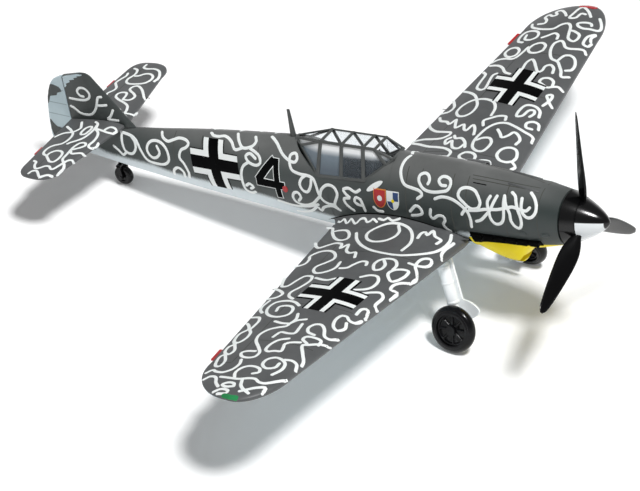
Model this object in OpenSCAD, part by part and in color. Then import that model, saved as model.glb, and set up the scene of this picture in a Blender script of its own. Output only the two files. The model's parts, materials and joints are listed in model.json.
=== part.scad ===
// Single-seat low-wing propeller fighter, 1:87 display model standing on its three wheels.
// Body frame used by every shape module: the spinner tip is the zero point, stations run aft
// along -X, +Y is the port side and +Z is up, square to the thrust line.
// stance() then sits the finished shape on its wheels, nose up, with the origin on the floor.

/* [Fuselage] */
// Station of the tail cone's end, behind the spinner tip
fuselage_len = 101; // [99:0.5:104]
// Half-width at the cockpit
fuselage_half_w = 5; // [4.6:0.1:5.4]
// Height of the cowl deck at the foot of the windscreen
deck_h = 7.3; // [7:0.1:7.6]
// Depth of the belly under the thrust line
belly_d = 7.5; // [7.2:0.1:7.9]
// Height of the spine where the antenna mast stands
spine_h = 7.6; // [7.4:0.1:7.8]
// Height of the tail cone's top, level with the fin's foot
tail_top_h = 4.8; // [4.5:0.1:5]
// Half-width of the tail cone's end
tail_half_w = 0.9; // [0.7:0.05:1.1]
// Thickness of the fuselage shell
shell_t = 0.7; // [0.5:0.05:0.9]
// Depth of the joint between cowl and lower cowl
cowl_split_d = 3.3; // [3.1:0.1:3.6]

/* [Wing] */
// Half of the wing span
half_span = 57.2; // [56:0.2:59]
// Distance of the wing root rib from the centre line
wing_root_y = 4.8; // [4.6:0.1:5]
// Distance of the rib where the rounded tip starts
tip_start_y = 48.8; // [47:0.2:50]
// Station of the leading edge at the root
root_le = 23; // [22.5:0.1:23.5]
// Station of the trailing edge at the root
root_te = 46.4; // [46:0.1:47]
// Station of the leading edge where the tip starts
outer_le = 26.8; // [26.3:0.1:27.3]
// Station of the trailing edge where the tip starts
outer_te = 40.7; // [40.2:0.1:41.2]
// Station of the outermost point of the tip
tip_station = 32.3; // [31.8:0.1:32.8]
// Depth of the root chord line under the thrust line
wing_d = 4.4; // [4.2:0.1:4.6]
// Upward slope of the wing
dihedral = 5.9; // [4:0.1:7]
// Thickness of the root section as a share of its chord
root_thick = 0.165; // [0.14:0.005:0.18]
// Thickness of the tip section as a share of its chord
tip_thick = 0.12; // [0.1:0.005:0.13]

/* [Tail] */
// Half of the tailplane span
tail_half_span = 18.1; // [17:0.1:19]
// Height of the tailplane over the thrust line
tailplane_h = 5.1; // [5:0.1:5.6]
// Chord of the tailplane at its root
tailplane_chord = 10.7; // [10:0.1:11.5]
// How far the rudder's hinge line lies ahead of the tail cone's end
hinge_inset = 3.3; // [3:0.1:4]
// Height of the fin's top at its leading edge
fin_top_h = 13.9; // [13:0.1:14.5]
// Half-thickness of the fin's foot
fin_half_t = 0.7; // [0.6:0.05:0.8]
// Widest chord of the rudder, behind its hinge line
rudder_chord = 5.1; // [4.5:0.1:5.8]

/* [Cockpit and canopy] */
// Station of the foot of the windscreen
screen_station = 35.4; // [35:0.1:35.8]
// Height of the canopy roof
canopy_h = 8.4; // [8.2:0.1:8.8]
// Half-width of the canopy roof
roof_half_w = 1.8; // [1.6:0.1:2]
// Half-width of the canopy at its sill
sill_half_w = 3.9; // [3.7:0.1:4]
// Height of the front end of the sill
sill_h = 3.8; // [3.6:0.1:4]
// Station of the point where the glazing meets the spine
glazing_end = 53.5; // [53:0.1:54]
// Thickness of the clear panes
pane_t = 0.3; // [0.2:0.05:0.4]
// Thickness of the metal frame over the panes
frame_t = 0.3; // [0.2:0.05:0.4]
// Width of the canopy's frame bars
bar_w = 0.75; // [0.6:0.05:0.9]
// Height of the antenna mast
mast_h = 4.9; // [4:0.1:6]

/* [Propeller] */
// Length of the spinner
spinner_len = 6.4; // [6:0.1:6.6]
// Radius of the spinner's base
spinner_r = 4.2; // [4:0.05:4.3]
// Radius of the propeller disc
prop_r = 17.4; // [16:0.1:18.5]
// Station of the blade axes
blade_station = 4.3; // [4:0.1:4.5]
// Widest chord of a blade
blade_chord = 3.5; // [3:0.1:3.8]
// Turn of the propeller at rest, from upright toward port
prop_clock = 9; // [0:1:60]
// Radius of the propeller shaft
shaft_r = 0.6; // [0.5:0.05:0.8]
// Running clearance of the shaft and the main wheel axles, on the radius
running_gap = 0.05; // [0.03:0.01:0.08]
// Gap between the spinner and the cowl
spinner_gap = 0.3; // [0.2:0.05:0.4]

/* [Landing gear] */
// Radius of a main tyre
tyre_r = 3.75; // [3.5:0.05:4]
// Width of a main tyre
tyre_w = 2; // [1.8:0.1:2.2]
// Radius of a main wheel's rim
rim_r = 2.5; // [2.3:0.1:2.7]
// Radius of the wheel axles
axle_r = 0.45; // [0.35:0.05:0.55]
// Station of the main wheels
main_wheel_station = 23.5; // [22.5:0.1:24.5]
// Half of the track, measured at the wheel centres
half_track = 11.7; // [11.3:0.1:12.2]
// Depth of the main wheel centres under the thrust line
main_wheel_d = 15.6; // [15:0.1:16.2]
// Outward lean of the legs, which the wheels share
leg_lean = 16; // [14:0.5:18]
// Forward rake of the legs, from the wing down to the wheel
leg_rake = 16; // [12:0.5:18]
// Radius of an undercarriage leg
leg_r = 0.7; // [0.6:0.05:0.8]
// Thickness of a gear door
door_t = 0.35; // [0.3:0.05:0.45]
// Radius of the tail wheel
tail_wheel_r = 1.67; // [1.5:0.05:1.8]
// Width of the tail wheel
tail_wheel_w = 1.2; // [1:0.05:1.4]
// How far the tail wheel's centre lies ahead of the tail cone's end
tail_wheel_inset = 10.9; // [10:0.1:12]
// Depth of the tail wheel's centre under the thrust line
tail_wheel_d = 4.9; // [4.6:0.1:5.2]
// Radius of the tail wheel's axle
tail_axle_r = 0.3; // [0.25:0.05:0.35]

/* [Hidden] */
$fn = 48;

seat_gap = 0.03;            // joint line between glued pieces
wing_camber = 0.02;         // rise of the wing's mean line, as a share of the chord
edge_t = 0.24;              // thickness of a trailing edge
edge_share = 0.05;          // most that edge may be, as a share of the chord
arc_steps = 14;             // facets along half a fuselage section
chord_steps = 12;           // facets along a wing section
cut = 0.5;                  // how far a cutter runs past what it cuts

// ---- small helpers ----
function mix(a, b, t) = a + (b - a) * t;
function rev(v) = [for (i = [len(v) - 1 : -1 : 0]) v[i]];
function clamp(v, lo, hi) = min(max(v, lo), hi);

// A smooth curve through a table: column c of the rows, at station s.
function span_at(rows, s, i = 0) = i >= len(rows) - 2 || s <= rows[i + 1][0] ? i
    : span_at(rows, s, i + 1);
function slope_at(rows, c, i) = let (a = max(i - 1, 0), b = min(i + 1, len(rows) - 1))
    (rows[b][c] - rows[a][c]) / (rows[b][0] - rows[a][0]);
function curve(rows, c, s) = let (i = span_at(rows, s), h = rows[i + 1][0] - rows[i][0],
    t = clamp((s - rows[i][0]) / h, 0, 1), t2 = t * t, t3 = t2 * t)
    (2 * t3 - 3 * t2 + 1) * rows[i][c] + (t3 - 2 * t2 + t) * h * slope_at(rows, c, i)
    + (3 * t2 - 2 * t3) * rows[i + 1][c] + (t3 - t2) * h * slope_at(rows, c, i + 1);

// A ring is two chains of equal length, out along the first and back along the second.
function ring(out, back) = concat(out, rev(back));

// Skin over rings of 2k points; the end caps are strips between the two chains.
module loft(rings, flip = false) {
    n = len(rings[0]);
    k = n / 2;
    m = len(rings);
    last = (m - 1) * n;
    side = [for (i = [0 : m - 2], j = [0 : n - 1]) let (a = i * n + j, b = i * n + (j + 1) % n)
        each [[a, b, b + n], [a, b + n, a + n]]];
    front = [for (j = [0 : k - 2]) let (p = n - 1 - j) each [[j, p, j + 1], [j + 1, p, p - 1]]];
    back = [for (f = front) [f[2] + last, f[1] + last, f[0] + last]];
    faces = concat(side, front, back);
    polyhedron(points = [for (r = rings) each r],
        faces = flip ? [for (f = faces) rev(f)] : faces, convexity = 8);
}

// The tail's own stations, all counted from the end of the tail cone.
hinge_station = fuselage_len - hinge_inset;
tail_end = hinge_station - 0.2;
tailplane_te = tail_end;
tailplane_le = tailplane_te - tailplane_chord;
rudder_rear = hinge_station + rudder_chord;
tail_wheel_station = fuselage_len - tail_wheel_inset;

// ---- stance: the body frame pitched until all three wheels touch the floor ----
tyre_round = tyre_w / 2;
main_drop = (tyre_r - tyre_round) * cos(leg_lean) + tyre_round;
wheel_base = tail_wheel_station - main_wheel_station;
wheel_rise = main_wheel_d - tail_wheel_d;
pitch = atan2(wheel_rise, wheel_base)
    + asin((main_drop - tail_wheel_r) / sqrt(wheel_base * wheel_base + wheel_rise * wheel_rise));
floor_d = main_wheel_station * sin(pitch) + main_wheel_d * cos(pitch) + main_drop;
tail_reach = rudder_rear * cos(pitch) + tail_top_h * sin(pitch) / 2;
module stance() {
    translate([tail_reach / 2, 0, floor_d]) rotate([0, -pitch, 0]) children();
}
module on_side(side) {
    if (side < 0) mirror([0, 1, 0]) children();
    else children();
}

// ---- fuselage sections: station, top, bottom, half-width, power of the upper quarter ----
nose_end = spinner_len + spinner_gap;
// A cowl section, by the share of the way from the round nose to the cockpit for each of its sizes.
function cowl_row(x, top, low, wide, p) = [mix(nose_end, screen_station, x), mix(spinner_r, deck_h, top),
    -mix(spinner_r, belly_d, low), mix(spinner_r, fuselage_half_w, wide), p];
// A section of the rear fuselage: share of its length, of the fall of its spine, and of the cockpit's girth.
function rear_row(x, fall, girth, p) = [mix(glazing_end, tail_end, x), mix(spine_h, tail_top_h, fall),
    -belly_d * girth, fuselage_half_w * girth, p];
body_rows = [
    cowl_row(0, 0, 0, 0, 2),
    cowl_row(0.185, 0.38, 0.42, 0.6, 2),
    cowl_row(0.463, 0.72, 0.72, 0.9, 2),
    cowl_row(0.707, 0.9, 0.92, 1, 1.95),
    cowl_row(1, 1, 1, 1, 1.8),
    [mix(screen_station, glazing_end, 0.585), mix(deck_h, spine_h, 0.8), -belly_d * 0.985,
        fuselage_half_w * 0.98, 1.8],
    rear_row(0, 0, 0.9, 1.85),
    rear_row(0.375, 0.44, 0.66, 1.95),
    rear_row(0.716, 1, 0.4, 2),
    [mix(glazing_end, tail_end, 0.943), tail_top_h * 0.99, -belly_d * 0.2, tail_half_w * 1.2, 2],
    [tail_end, tail_top_h * 0.97, -belly_d * 0.14, tail_half_w, 2]];
function top_h(s) = curve(body_rows, 1, s);
function bottom_h(s) = curve(body_rows, 2, s);
function half_w(s) = curve(body_rows, 3, s);
function power(s) = curve(body_rows, 4, s);

// Point of the section at angle a: 90 is the top, 0 the side, -90 the bottom.
function body_point(s, a, inset = 0) = let (up = a >= 0, p = up ? power(s) : 2,
    h = max((up ? top_h(s) : -bottom_h(s)) - inset, 0.2), w = max(half_w(s) - inset, 0.2))
    [-s, w * pow(max(cos(a), 0), 2 / p), (up ? 1 : -1) * h * pow(abs(sin(a)), 2 / p)];
// Angle at which the section passes the height z.
function body_angle(s, z) = z >= 0 ? asin(pow(clamp(z / top_h(s), 0, 1), power(s) / 2))
    : -asin(clamp(z / bottom_h(s), 0, 1));

// ---- wing sections ----
function tip_share(y) = clamp((y - tip_start_y) / (half_span - tip_start_y), 0, 1);
function straight_le(y) = mix(root_le, outer_le, (y - wing_root_y) / (tip_start_y - wing_root_y));
function straight_te(y) = mix(root_te, outer_te, (y - wing_root_y) / (tip_start_y - wing_root_y));
function wing_le(y) = y < tip_start_y ? straight_le(max(y, wing_root_y))
    : tip_station - (tip_station - outer_le) * sqrt(1 - pow(tip_share(y), 2));
function wing_te(y) = y < tip_start_y ? straight_te(max(y, wing_root_y))
    : tip_station + (outer_te - tip_station) * sqrt(1 - pow(tip_share(y), 2));
function wing_h(y) = -wing_d + max(y - wing_root_y, 0) * tan(dihedral);
function wing_thick(y) = mix(root_thick, tip_thick, clamp(y / half_span, 0, 1));
// Half-thickness of a four-digit wing section at share x of its chord, per unit of thickness.
function half_thick(x) = 5 * (0.2969 * sqrt(x) - 0.126 * x - 0.3516 * pow(x, 2) + 0.2843 * pow(x, 3)
    - 0.1036 * pow(x, 4));
function mean_rise(x) = 4 * wing_camber * x * (1 - x);
// Height over the chord line at share x of the chord: side 1 is above, -1 below, 0 the mean line.
function wing_chord(y) = wing_te(y) - wing_le(y);
function wing_rise(y, x, side) = wing_chord(y) * (mean_rise(x) + side * wing_thick(y) * half_thick(x))
    + side * min(edge_t, wing_chord(y) * edge_share) / 2;
function chord_share(i) = (1 - cos(180 * i / chord_steps)) / 2;
function wing_point(y, x, side, lift = 0) =
    [-mix(wing_le(y), wing_te(y), x), y, wing_h(y) + wing_rise(y, x, side) + lift];
function wing_chain(y, side, lift = 0) =
    [for (i = [0 : chord_steps]) wing_point(y, chord_share(i), side, lift)];
// Height of the wing's upper or lower skin at the root, at station s.
function root_skin_h(s, side) = let (x = clamp((s - root_le) / (root_te - root_le), 0, 1))
    -wing_d + wing_rise(wing_root_y, x, side);

// ---- fuselage half shell ----
step = 0.08;                // length of the step where the shell opens or closes
wing_front = root_le - 0.5;
wing_back = root_te + 0.1;
root_stations = [for (i = [0 : chord_steps]) mix(root_le, root_te, chord_share(i))];
sill_front = mix(screen_station, glazing_end, 0.254);
sill_back = mix(screen_station, glazing_end, 0.718);
sill_back_h = sill_h - 0.3;
// Top edge of the shell: closed over the cowl and the spine, open at the cockpit.
closed = 99;                // stands for an edge that lies beyond the section
rim_drop = 0.4;             // how far the opening's front edge lies under the deck
function opening_h(s) = s < screen_station || s > glazing_end ? closed
    : s < sill_front ? mix(deck_h - rim_drop, sill_h, (s - screen_station) / (sill_front - screen_station))
    : s < sill_back ? mix(sill_h, sill_back_h, (s - sill_front) / (sill_back - sill_front))
    : mix(sill_back_h, spine_h - 0.1, (s - sill_back) / (glazing_end - sill_back));
// Bottom edge of the shell: on the lower cowl, then on the wing, then closed.
function edge_h(s) = s <= wing_front ? -cowl_split_d
    : s < root_le ? mix(-cowl_split_d, root_skin_h(root_le, 1) + seat_gap,
        (s - wing_front) / (root_le - wing_front))
    : s <= wing_back ? root_skin_h(s, 1) + 2 * seat_gap
    : -closed;
// Stations of the shell: those of the wing root, and those where the opening changes.
function sorted(v) = len(v) <= 1 ? v : let (mid = v[floor(len(v) / 2)])
    concat(sorted([for (x = v) if (x < mid) x]), [mid], sorted([for (x = v) if (x > mid) x]));
cowl_steps = 6;             // sections from the nose to the wing
rear_steps = 11;            // sections from the glazing's end to the tail
nose_stations = [for (i = [0 : cowl_steps]) mix(nose_end, wing_front, i / cowl_steps)];
rear_stations = [for (i = [1 : rear_steps]) mix(glazing_end, tail_end, i / rear_steps)];
shell_stations = sorted(concat(nose_stations, root_stations, [screen_station - step, screen_station + step,
    sill_front, wing_back, wing_back + step, sill_back, (sill_back + glazing_end) / 2,
    glazing_end - step, glazing_end + step], rear_stations));
function shell_chain(s, inset) = let (hi = body_angle(s, opening_h(s)), lo = body_angle(s, edge_h(s)))
    [for (i = [0 : arc_steps]) body_point(s, mix(hi, lo, i / arc_steps), inset)];
module half_shell() {
    loft([for (s = shell_stations) ring(shell_chain(s, 0), shell_chain(s, shell_t))], flip = true);
}
module fuselage_left() {
    color("#4a4f4c") stance() half_shell();
}
module fuselage_right() {
    color("#4a4f4c") stance() on_side(-1) half_shell();
}

// ---- solid segment of the body under a given height, both sides ----
bulge_power = 0.6;          // how squarely the cooler bulge hangs
lid_edge = 0.02;            // depth of the lid's side edge
function belly_ring(s, z, extra = 0) = let (lo = body_angle(s, z), n = arc_steps,
    arc = [for (i = [-n : n]) let (p = body_point(s, -90 + (90 + lo) * abs(i) / n))
        [p[0], (i < 0 ? -1 : 1) * p[1], p[2] - extra * pow(cos(90 * i / n), bulge_power)]],
    lid = [for (p = arc) [p[0], p[1], z]])
    ring([for (i = [0 : 2 * n]) i % (2 * n) == 0 ? [arc[i][0], arc[i][1], z - lid_edge] : arc[i]], lid);

// ---- nose pieces ----
bulkhead_r = spinner_r - shell_t - 0.3;
bulkhead_front = nose_end + 0.3;
bulkhead_t = 1.2;
bush_wall = 0.5;
bush_r = shaft_r + running_gap + bush_wall;
bush_len = 5;
collar_t = 1;
collar_r = shaft_r + 0.6;
end_play = 0.15;            // gap on each side of a turning piece, along its axle
glue_gap = 0.01;            // on the radius, where a pin is glued into a bore
// Stands what is built upward from its foot along the thrust line, foot at station s, pointing forward.
module forward_from(s) {
    translate([-s, 0, 0]) rotate([0, 90, 0]) children();
}
module tube(outer, bore, h) {
    difference() {
        cylinder(r = outer, h = h);
        translate([0, 0, -cut]) cylinder(r = bore, h = h + 2 * cut);
    }
}
module nose_bulkhead() {
    color("#5b5f5c") stance() forward_from(bulkhead_front + bulkhead_t)
        tube(bulkhead_r, bush_r + glue_gap, bulkhead_t);
}
module shaft_bush() {
    color("#b08d57") stance() forward_from(bulkhead_front + bush_len)
        tube(bush_r, shaft_r + running_gap, bush_len);
}

// The cooler bulge hangs from the lower cowl between these stations.
cooler_front = 13.4;
cooler_back = 22;
cooler_drop = 2;
cooler_lip = 2.2;           // how far the intake's lower lip lies behind its upper lip
cooler_deep = cooler_front + cooler_lip;
function cooler_extra(s) = s <= cooler_front ? 0
    : s < cooler_deep ? cooler_drop * (s - cooler_front) / cooler_lip
    : cooler_drop * cos(90 * clamp((s - cooler_deep) / (cooler_back - cooler_deep), 0, 1));
intake_w = 4.2;
intake_h = 1.5;
intake_deep = 2.6;
intake_top = bottom_h(cooler_deep) - 0.3;
module lower_cowl() {
    ahead = [for (x = [0, 0.35, 0.7, 1]) mix(nose_end, cooler_front, x)];
    behind = [for (x = [0, 0.3, 0.6, 0.85]) mix(cooler_deep, cooler_back, x)];
    stations = concat(ahead, [cooler_front + cooler_lip / 2], behind, [wing_front - seat_gap]);
    color("#e8cf1a") stance() difference() {
        loft([for (s = stations) belly_ring(s, -cowl_split_d - seat_gap, cooler_extra(s))]);
        translate([-cooler_deep - intake_deep, -intake_w / 2, intake_top - intake_h])
            cube([intake_deep + cooler_lip + cut, intake_w, intake_h]);
    }
}
module oil_cooler_core() {
    fins = 6;
    fin_t = 0.2;
    fin_len = 0.4;
    core_len = 1;
    play = 0.02;
    core_h = intake_h - 2 * play;
    pitch_y = intake_w / (fins + 1);
    color("#2b2c2d") stance()
        translate([-cooler_deep - intake_deep + play, -intake_w / 2, intake_top - intake_h + play]) {
            translate([0, play, 0]) cube([core_len, intake_w - 2 * play, core_h]);
            for (i = [1 : fins]) translate([core_len, i * pitch_y - fin_t / 2, 0])
                cube([fin_len, fin_t, core_h]);
        }
}
// A row of exhaust stubs low on each cowl side, on a backing strip.
exhaust_h = -2.7;
exhaust_front = 10.2;
stub_count = 6;
stub_pitch = 1.95;
stub_len = 1.5;
stub_h = 0.8;
stub_t = 0.35;
strip_len = 0.7;
strip_t = 0.15;
strip_h = 0.2;
module exhaust(side) {
    color("#151515") stance() on_side(side) for (i = [0 : stub_count - 1]) {
        s = exhaust_front + i * stub_pitch;
        back_s = s + stub_len + 0.5;
        y = body_point(back_s, body_angle(back_s, exhaust_h + stub_h / 2))[1] + seat_gap;
        translate([-s - stub_len, y, exhaust_h - stub_h / 2]) cube([stub_len, stub_t, stub_h]);
        translate([-back_s, y, exhaust_h - strip_h / 2]) cube([strip_len, strip_t, strip_h]);
    }
}
module exhaust_left() {
    exhaust(1);
}
module exhaust_right() {
    exhaust(-1);
}
// Round engine air intake on the port side of the cowl, open at the front.
scoop_station = 24;
scoop_len = 3.6;
scoop_r = 1.25;
scoop_h = 2.2;
scoop_wall = 0.3;
scoop_end_t = 1;
module air_intake() {
    y = fuselage_half_w + scoop_r * 0.85;
    color("#4a4f4c") stance() translate([0, y, scoop_h]) forward_from(scoop_station + scoop_len)
        difference() {
            cylinder(r = scoop_r, h = scoop_len);
            translate([0, 0, scoop_end_t]) cylinder(r = scoop_r - scoop_wall, h = scoop_len);
            translate([-scoop_r * 2, -scoop_r * 2.55, -cut])
                cube([scoop_r * 4, scoop_r * 2, scoop_len + 2 * cut]);
        }
}
// Two gun barrels lying on the cowl deck, one a little ahead of the other.
gun_r = 0.22;
gun_y = 1.5;
gun_len = 5;
gun_front = 10.5;
gun_stagger = 0.9;
gun_lift = 0.12;            // clear of the deck, because the deck is curved under a straight barrel
bore_len = 1;
small_fn = 24;              // facets round a small pin
function deck_over(s, y) = body_point(s, 90 - asin(y / half_w(s)))[2];
module gun_barrels() {
    color("#2a2b2c") stance() for (side = [-1, 1]) {
        s = gun_front + (side > 0 ? gun_stagger : 0);
        rise_a = deck_over(s, gun_y);
        rise_b = deck_over(s + gun_len, gun_y);
        translate([-s - gun_len, side * gun_y, rise_b + gun_r + gun_lift])
            rotate([0, 90 + atan2(rise_b - rise_a, gun_len), 0]) difference() {
                cylinder(r = gun_r, h = gun_len, $fn = small_fn);
                translate([0, 0, gun_len - bore_len])
                    cylinder(r = gun_r / 2, h = bore_len + cut, $fn = small_fn);
            }
    }
}

// ---- wing ----
tip_shares = [0, 0.35, 0.6, 0.8, 0.92, 0.98];   // closer together where the tip curves faster
tip_end = 0.02;             // how far the last rib stays inside the tip
function tip_ribs(from, to) = concat([for (t = tip_shares) mix(from, to, t)], [to - tip_end]);
wing_ribs = concat([8, 14, 20, 27, 34, 41], tip_ribs(tip_start_y, half_span));
upper_root_y = wing_root_y - 0.9;   // the upper pieces run on under the fuselage shell
function mirrored(chain) = [for (p = chain) [p[0], -p[1], p[2]]];
module wing_lower() {
    ribs = concat([wing_root_y], wing_ribs);
    right = [for (y = rev(ribs)) ring(mirrored(wing_chain(y, 0)), mirrored(wing_chain(y, -1)))];
    left = [for (y = ribs) ring(wing_chain(y, 0), wing_chain(y, -1))];
    color("#b5ccd2") stance() loft(concat(right, left));
}
module wing_upper() {
    loft([for (y = concat([upper_root_y, wing_root_y], wing_ribs))
        ring(wing_chain(y, 1), wing_chain(y, 0, seat_gap))]);
}
module wing_upper_left() {
    color("#6a6a67") stance() wing_upper();
}
module wing_upper_right() {
    color("#6a6a67") stance() on_side(-1) wing_upper();
}
// The belly closes the body under the wing and carries a flat for a stand.
belly_flat_d = belly_d - 0.15;
belly_lap = 0.05;           // how far the pan runs past the wing root at each end
module belly_pan() {
    stations = concat([wing_front + belly_lap], root_stations, [root_te + belly_lap]);
    color("#b5ccd2") stance() difference() {
        loft([for (s = stations) belly_ring(s, root_skin_h(s, -1) - 2 * seat_gap)]);
        translate([-glazing_end, -fuselage_half_w, -belly_flat_d - belly_d])
            cube([glazing_end, 2 * fuselage_half_w, belly_d]);
    }
}
// Shallow radiator under each wing root, open at the front.
radiator_y = 13;
radiator_w = 11;
radiator_front = 33;
radiator_len = 9;
radiator_drop = 1.1;
radiator_rows = [[0, radiator_drop], [0.3, radiator_drop * 1.25], [0.7, radiator_drop * 0.95], [1, 0.25]];
radiator_steps = 8;
radiator_ribs = 6;
radiator_lip = 0.5;
slot_h = 0.55;
slot_len = 1.5;
slot_d = 3.1;               // depth of the slot under the wing's chord line
// The radiator hangs from this height of the wing's underside, and its sides from half of its drop.
function under_wing_at(s, y) = wing_point(y, (s - wing_le(y)) / wing_chord(y), -1, -2 * seat_gap)[2];
function radiator_ring(i) = let (share = i / radiator_steps, s = radiator_front + share * radiator_len,
    drop = curve(radiator_rows, 1, share), n = radiator_ribs,
    lid = [for (j = [0 : n]) let (y = radiator_y + (j / n - 0.5) * radiator_w) [-s, y, under_wing_at(s, y)]],
    low = [for (j = [0 : n]) lid[j] - [0, 0, j % n == 0 ? drop / 2 : drop]])
    ring(lid, low);
module radiator(side) {
    color("#b5ccd2") stance() on_side(side) difference() {
        loft([for (i = [0 : radiator_steps]) radiator_ring(i)], flip = true);
        translate([-radiator_front - slot_len, radiator_y - radiator_w / 2 + radiator_lip,
            wing_h(radiator_y) - slot_d]) rotate([dihedral, 0, 0])
            cube([slot_len + cut, radiator_w - 2 * radiator_lip, slot_h]);
    }
}
module radiator_left() {
    radiator(1);
}
module radiator_right() {
    radiator(-1);
}
// Fixed trim tabs behind the ailerons and the elevators.
tab_len = 0.5;
tab_t = 0.22;
aileron_tab_y = 46.4;
aileron_tab_w = 3;
elevator_tab_y = 10.5;
elevator_tab_w = 2.6;
module aileron_tabs() {
    s = wing_te(aileron_tab_y);
    sweep = atan2(root_te - outer_te, tip_start_y - wing_root_y);
    color("#b0202a") stance() for (side = [-1, 1]) on_side(side)
        translate([-s, aileron_tab_y, wing_h(aileron_tab_y)]) rotate([dihedral, 0, -sweep])
            translate([-tab_len - seat_gap, -aileron_tab_w / 2, -tab_t / 2])
                cube([tab_len, aileron_tab_w, tab_t]);
}

// ---- tail ----
tail_root_y = fin_half_t + seat_gap;
tail_outer_y = 14.5;
tail_outer_le = tailplane_le + 2.7;
tail_outer_te = tailplane_te - 0.6;
tail_tip_station = (tail_outer_le + tail_outer_te) / 2 + 0.4;
tail_power = 2.65;
tailplane_thick = 0.11;
function tail_share(y) = clamp((y - tail_outer_y) / (tail_half_span - tail_outer_y), 0, 1);
function tail_round(y) = pow(1 - pow(tail_share(y), tail_power), 1 / tail_power);
function tailplane_front(y) = y < tail_outer_y ? mix(tailplane_le, tail_outer_le, y / tail_outer_y)
    : tail_tip_station - (tail_tip_station - tail_outer_le) * tail_round(y);
function tailplane_rear(y) = y < tail_outer_y ? mix(tailplane_te, tail_outer_te, y / tail_outer_y)
    : tail_tip_station + (tail_outer_te - tail_tip_station) * tail_round(y);
tail_edge_t = 0.1;
tail_edge_share = 0.04;     // most that edge may be, as a share of the chord
function tailplane_half(c, x) = c * tailplane_thick * half_thick(x) + min(tail_edge_t, c * tail_edge_share);
function tailplane_chain(y, side) = let (le = tailplane_front(y), te = tailplane_rear(y))
    [for (i = [0 : chord_steps]) let (x = chord_share(i))
        [-mix(le, te, x), y, tailplane_h + side * tailplane_half(te - le, x)]];
tail_ribs = concat([tail_root_y, 4, 7.5, 11], tip_ribs(tail_outer_y, tail_half_span));
module tailplane() {
    loft([for (y = tail_ribs) ring(tailplane_chain(y, 1), tailplane_chain(y, -1))]);
}
module tailplane_left() {
    color("#6a6a67") stance() tailplane();
}
module tailplane_right() {
    color("#6a6a67") stance() on_side(-1) tailplane();
}
module elevator_tabs() {
    s = tailplane_rear(elevator_tab_y - elevator_tab_w / 2);
    color("#b0202a") stance() for (side = [-1, 1]) on_side(side)
        translate([-s - tab_len - 2 * seat_gap, elevator_tab_y - elevator_tab_w / 2, tailplane_h - tab_t / 2])
            cube([tab_len, elevator_tab_w, tab_t]);
}
// Outline of fin and rudder: leading edge, top edge and curved trailing edge, by height.
fin_foot = tail_top_h + seat_gap;
fin_foot_station = hinge_station - 12.5;
fin_tip_station = hinge_station - 5.4;
hinge_gap = 0.15;
rudder_top_h = fin_top_h - 1;
rudder_foot_h = -0.9;
// Curved trailing edge: share of the rudder's height, and how far it lies ahead of the rearmost point.
rudder_rows = [[0, 1.6], [0.094, 0.15], [0.246, 0], [0.58, 0.7], [0.812, 1.8], [0.935, 3], [1, 4.7]];
function fin_front(z) = mix(fin_foot_station, fin_tip_station, (z - fin_foot) / (fin_top_h - fin_foot));
fin_tip_half_t = 0.35;
fin_nose_t = 0.06;          // half-thickness of the leading edge
hinge_share = 0.8;          // thickness at the hinge, as a share of the fin's
fin_shoulder_h = fin_top_h - 0.85;   // above this the fin's rear edge rounds forward
fin_rear = hinge_station - hinge_gap;
function fin_half(z) = mix(fin_half_t, fin_tip_half_t, clamp((z - fin_foot) / (fin_top_h - fin_foot), 0, 1));
// Half-thickness at share x of the chord: quickly out from the leading edge, then in to the hinge.
function fin_side(z, x) = mix(mix(fin_nose_t, fin_half(z), sqrt(min(1, x * 3.2))),
    fin_half(z) * hinge_share, clamp(x * 1.4 - 0.4, 0, 1));
function fin_back(z) = z <= fin_shoulder_h ? fin_rear
    : mix(fin_rear, fin_tip_station + 1.5, (z - fin_shoulder_h) / (fin_top_h - fin_shoulder_h));
function fin_nose(z) = fin_front(z) + (z == fin_top_h ? 0.5 : 0);
function fin_chain(z, side) = [for (i = [0 : chord_steps]) let (x = chord_share(i))
    [-mix(fin_nose(z), fin_back(z), x), side * fin_side(z, x), z]];
module fin() {
    heights = [for (x = [0, 0.13, 0.35, 0.57, 0.79, 0.91, 1]) mix(fin_foot, fin_top_h, x)];
    color("#4a4f4c") stance() loft([for (z = heights) ring(fin_chain(z, 1), fin_chain(z, -1))], flip = true);
}
rudder_steps = 6;
rudder_edge_t = 0.1;
function rudder_chain(share, side) = let (z = mix(rudder_foot_h, rudder_top_h, share),
    rear = rudder_rear - curve(rudder_rows, 1, share), hinge_t = fin_half(max(z, fin_foot)) * hinge_share)
    [for (i = [0 : rudder_steps]) let (x = i / rudder_steps)
        [-mix(hinge_station, rear, x), side * mix(hinge_t, rudder_edge_t, x), z]];
module rudder() {
    shares = [0, 0.094, 0.246, 0.41, 0.58, 0.7, 0.812, 0.885, 0.935, 0.978, 1];
    color("#b4c6cb") stance()
        loft([for (x = shares) ring(rudder_chain(x, 1), rudder_chain(x, -1))], flip = true);
}

// ---- cockpit ----
lift = 0.08;                // the canopy sits this far over the edge of the fuselage opening
tub_front = screen_station + 0.6;
tub_back = sill_back + 1.4;
tub_half_w = sill_half_w - 0.85;
tub_floor_h = -0.9;
tub_wall_h = sill_back_h - 0.2;
tub_t = 0.4;
tub_len = tub_back - tub_front;
tub_wall = tub_wall_h - tub_floor_h;
tub_top = tub_floor_h + tub_t + 0.02;   // height at which what stands in the tub starts
module cockpit_tub() {
    color("#3d4143") stance() difference() {
        translate([-tub_back, -tub_half_w, tub_floor_h]) cube([tub_len, 2 * tub_half_w, tub_wall]);
        translate([-tub_back + tub_t, -tub_half_w + tub_t, tub_floor_h + tub_t])
            cube([tub_len - 2 * tub_t, 2 * (tub_half_w - tub_t), tub_wall]);
    }
}
seat_w = 3.6;
seat_len = 3.6;
seat_station = 43.6;
seat_h = 1.2;
seat_back_h = 4.6;
seat_back_t = 0.9;
seat_wall = 0.4;
seat_bevel = 0.9;
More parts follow.
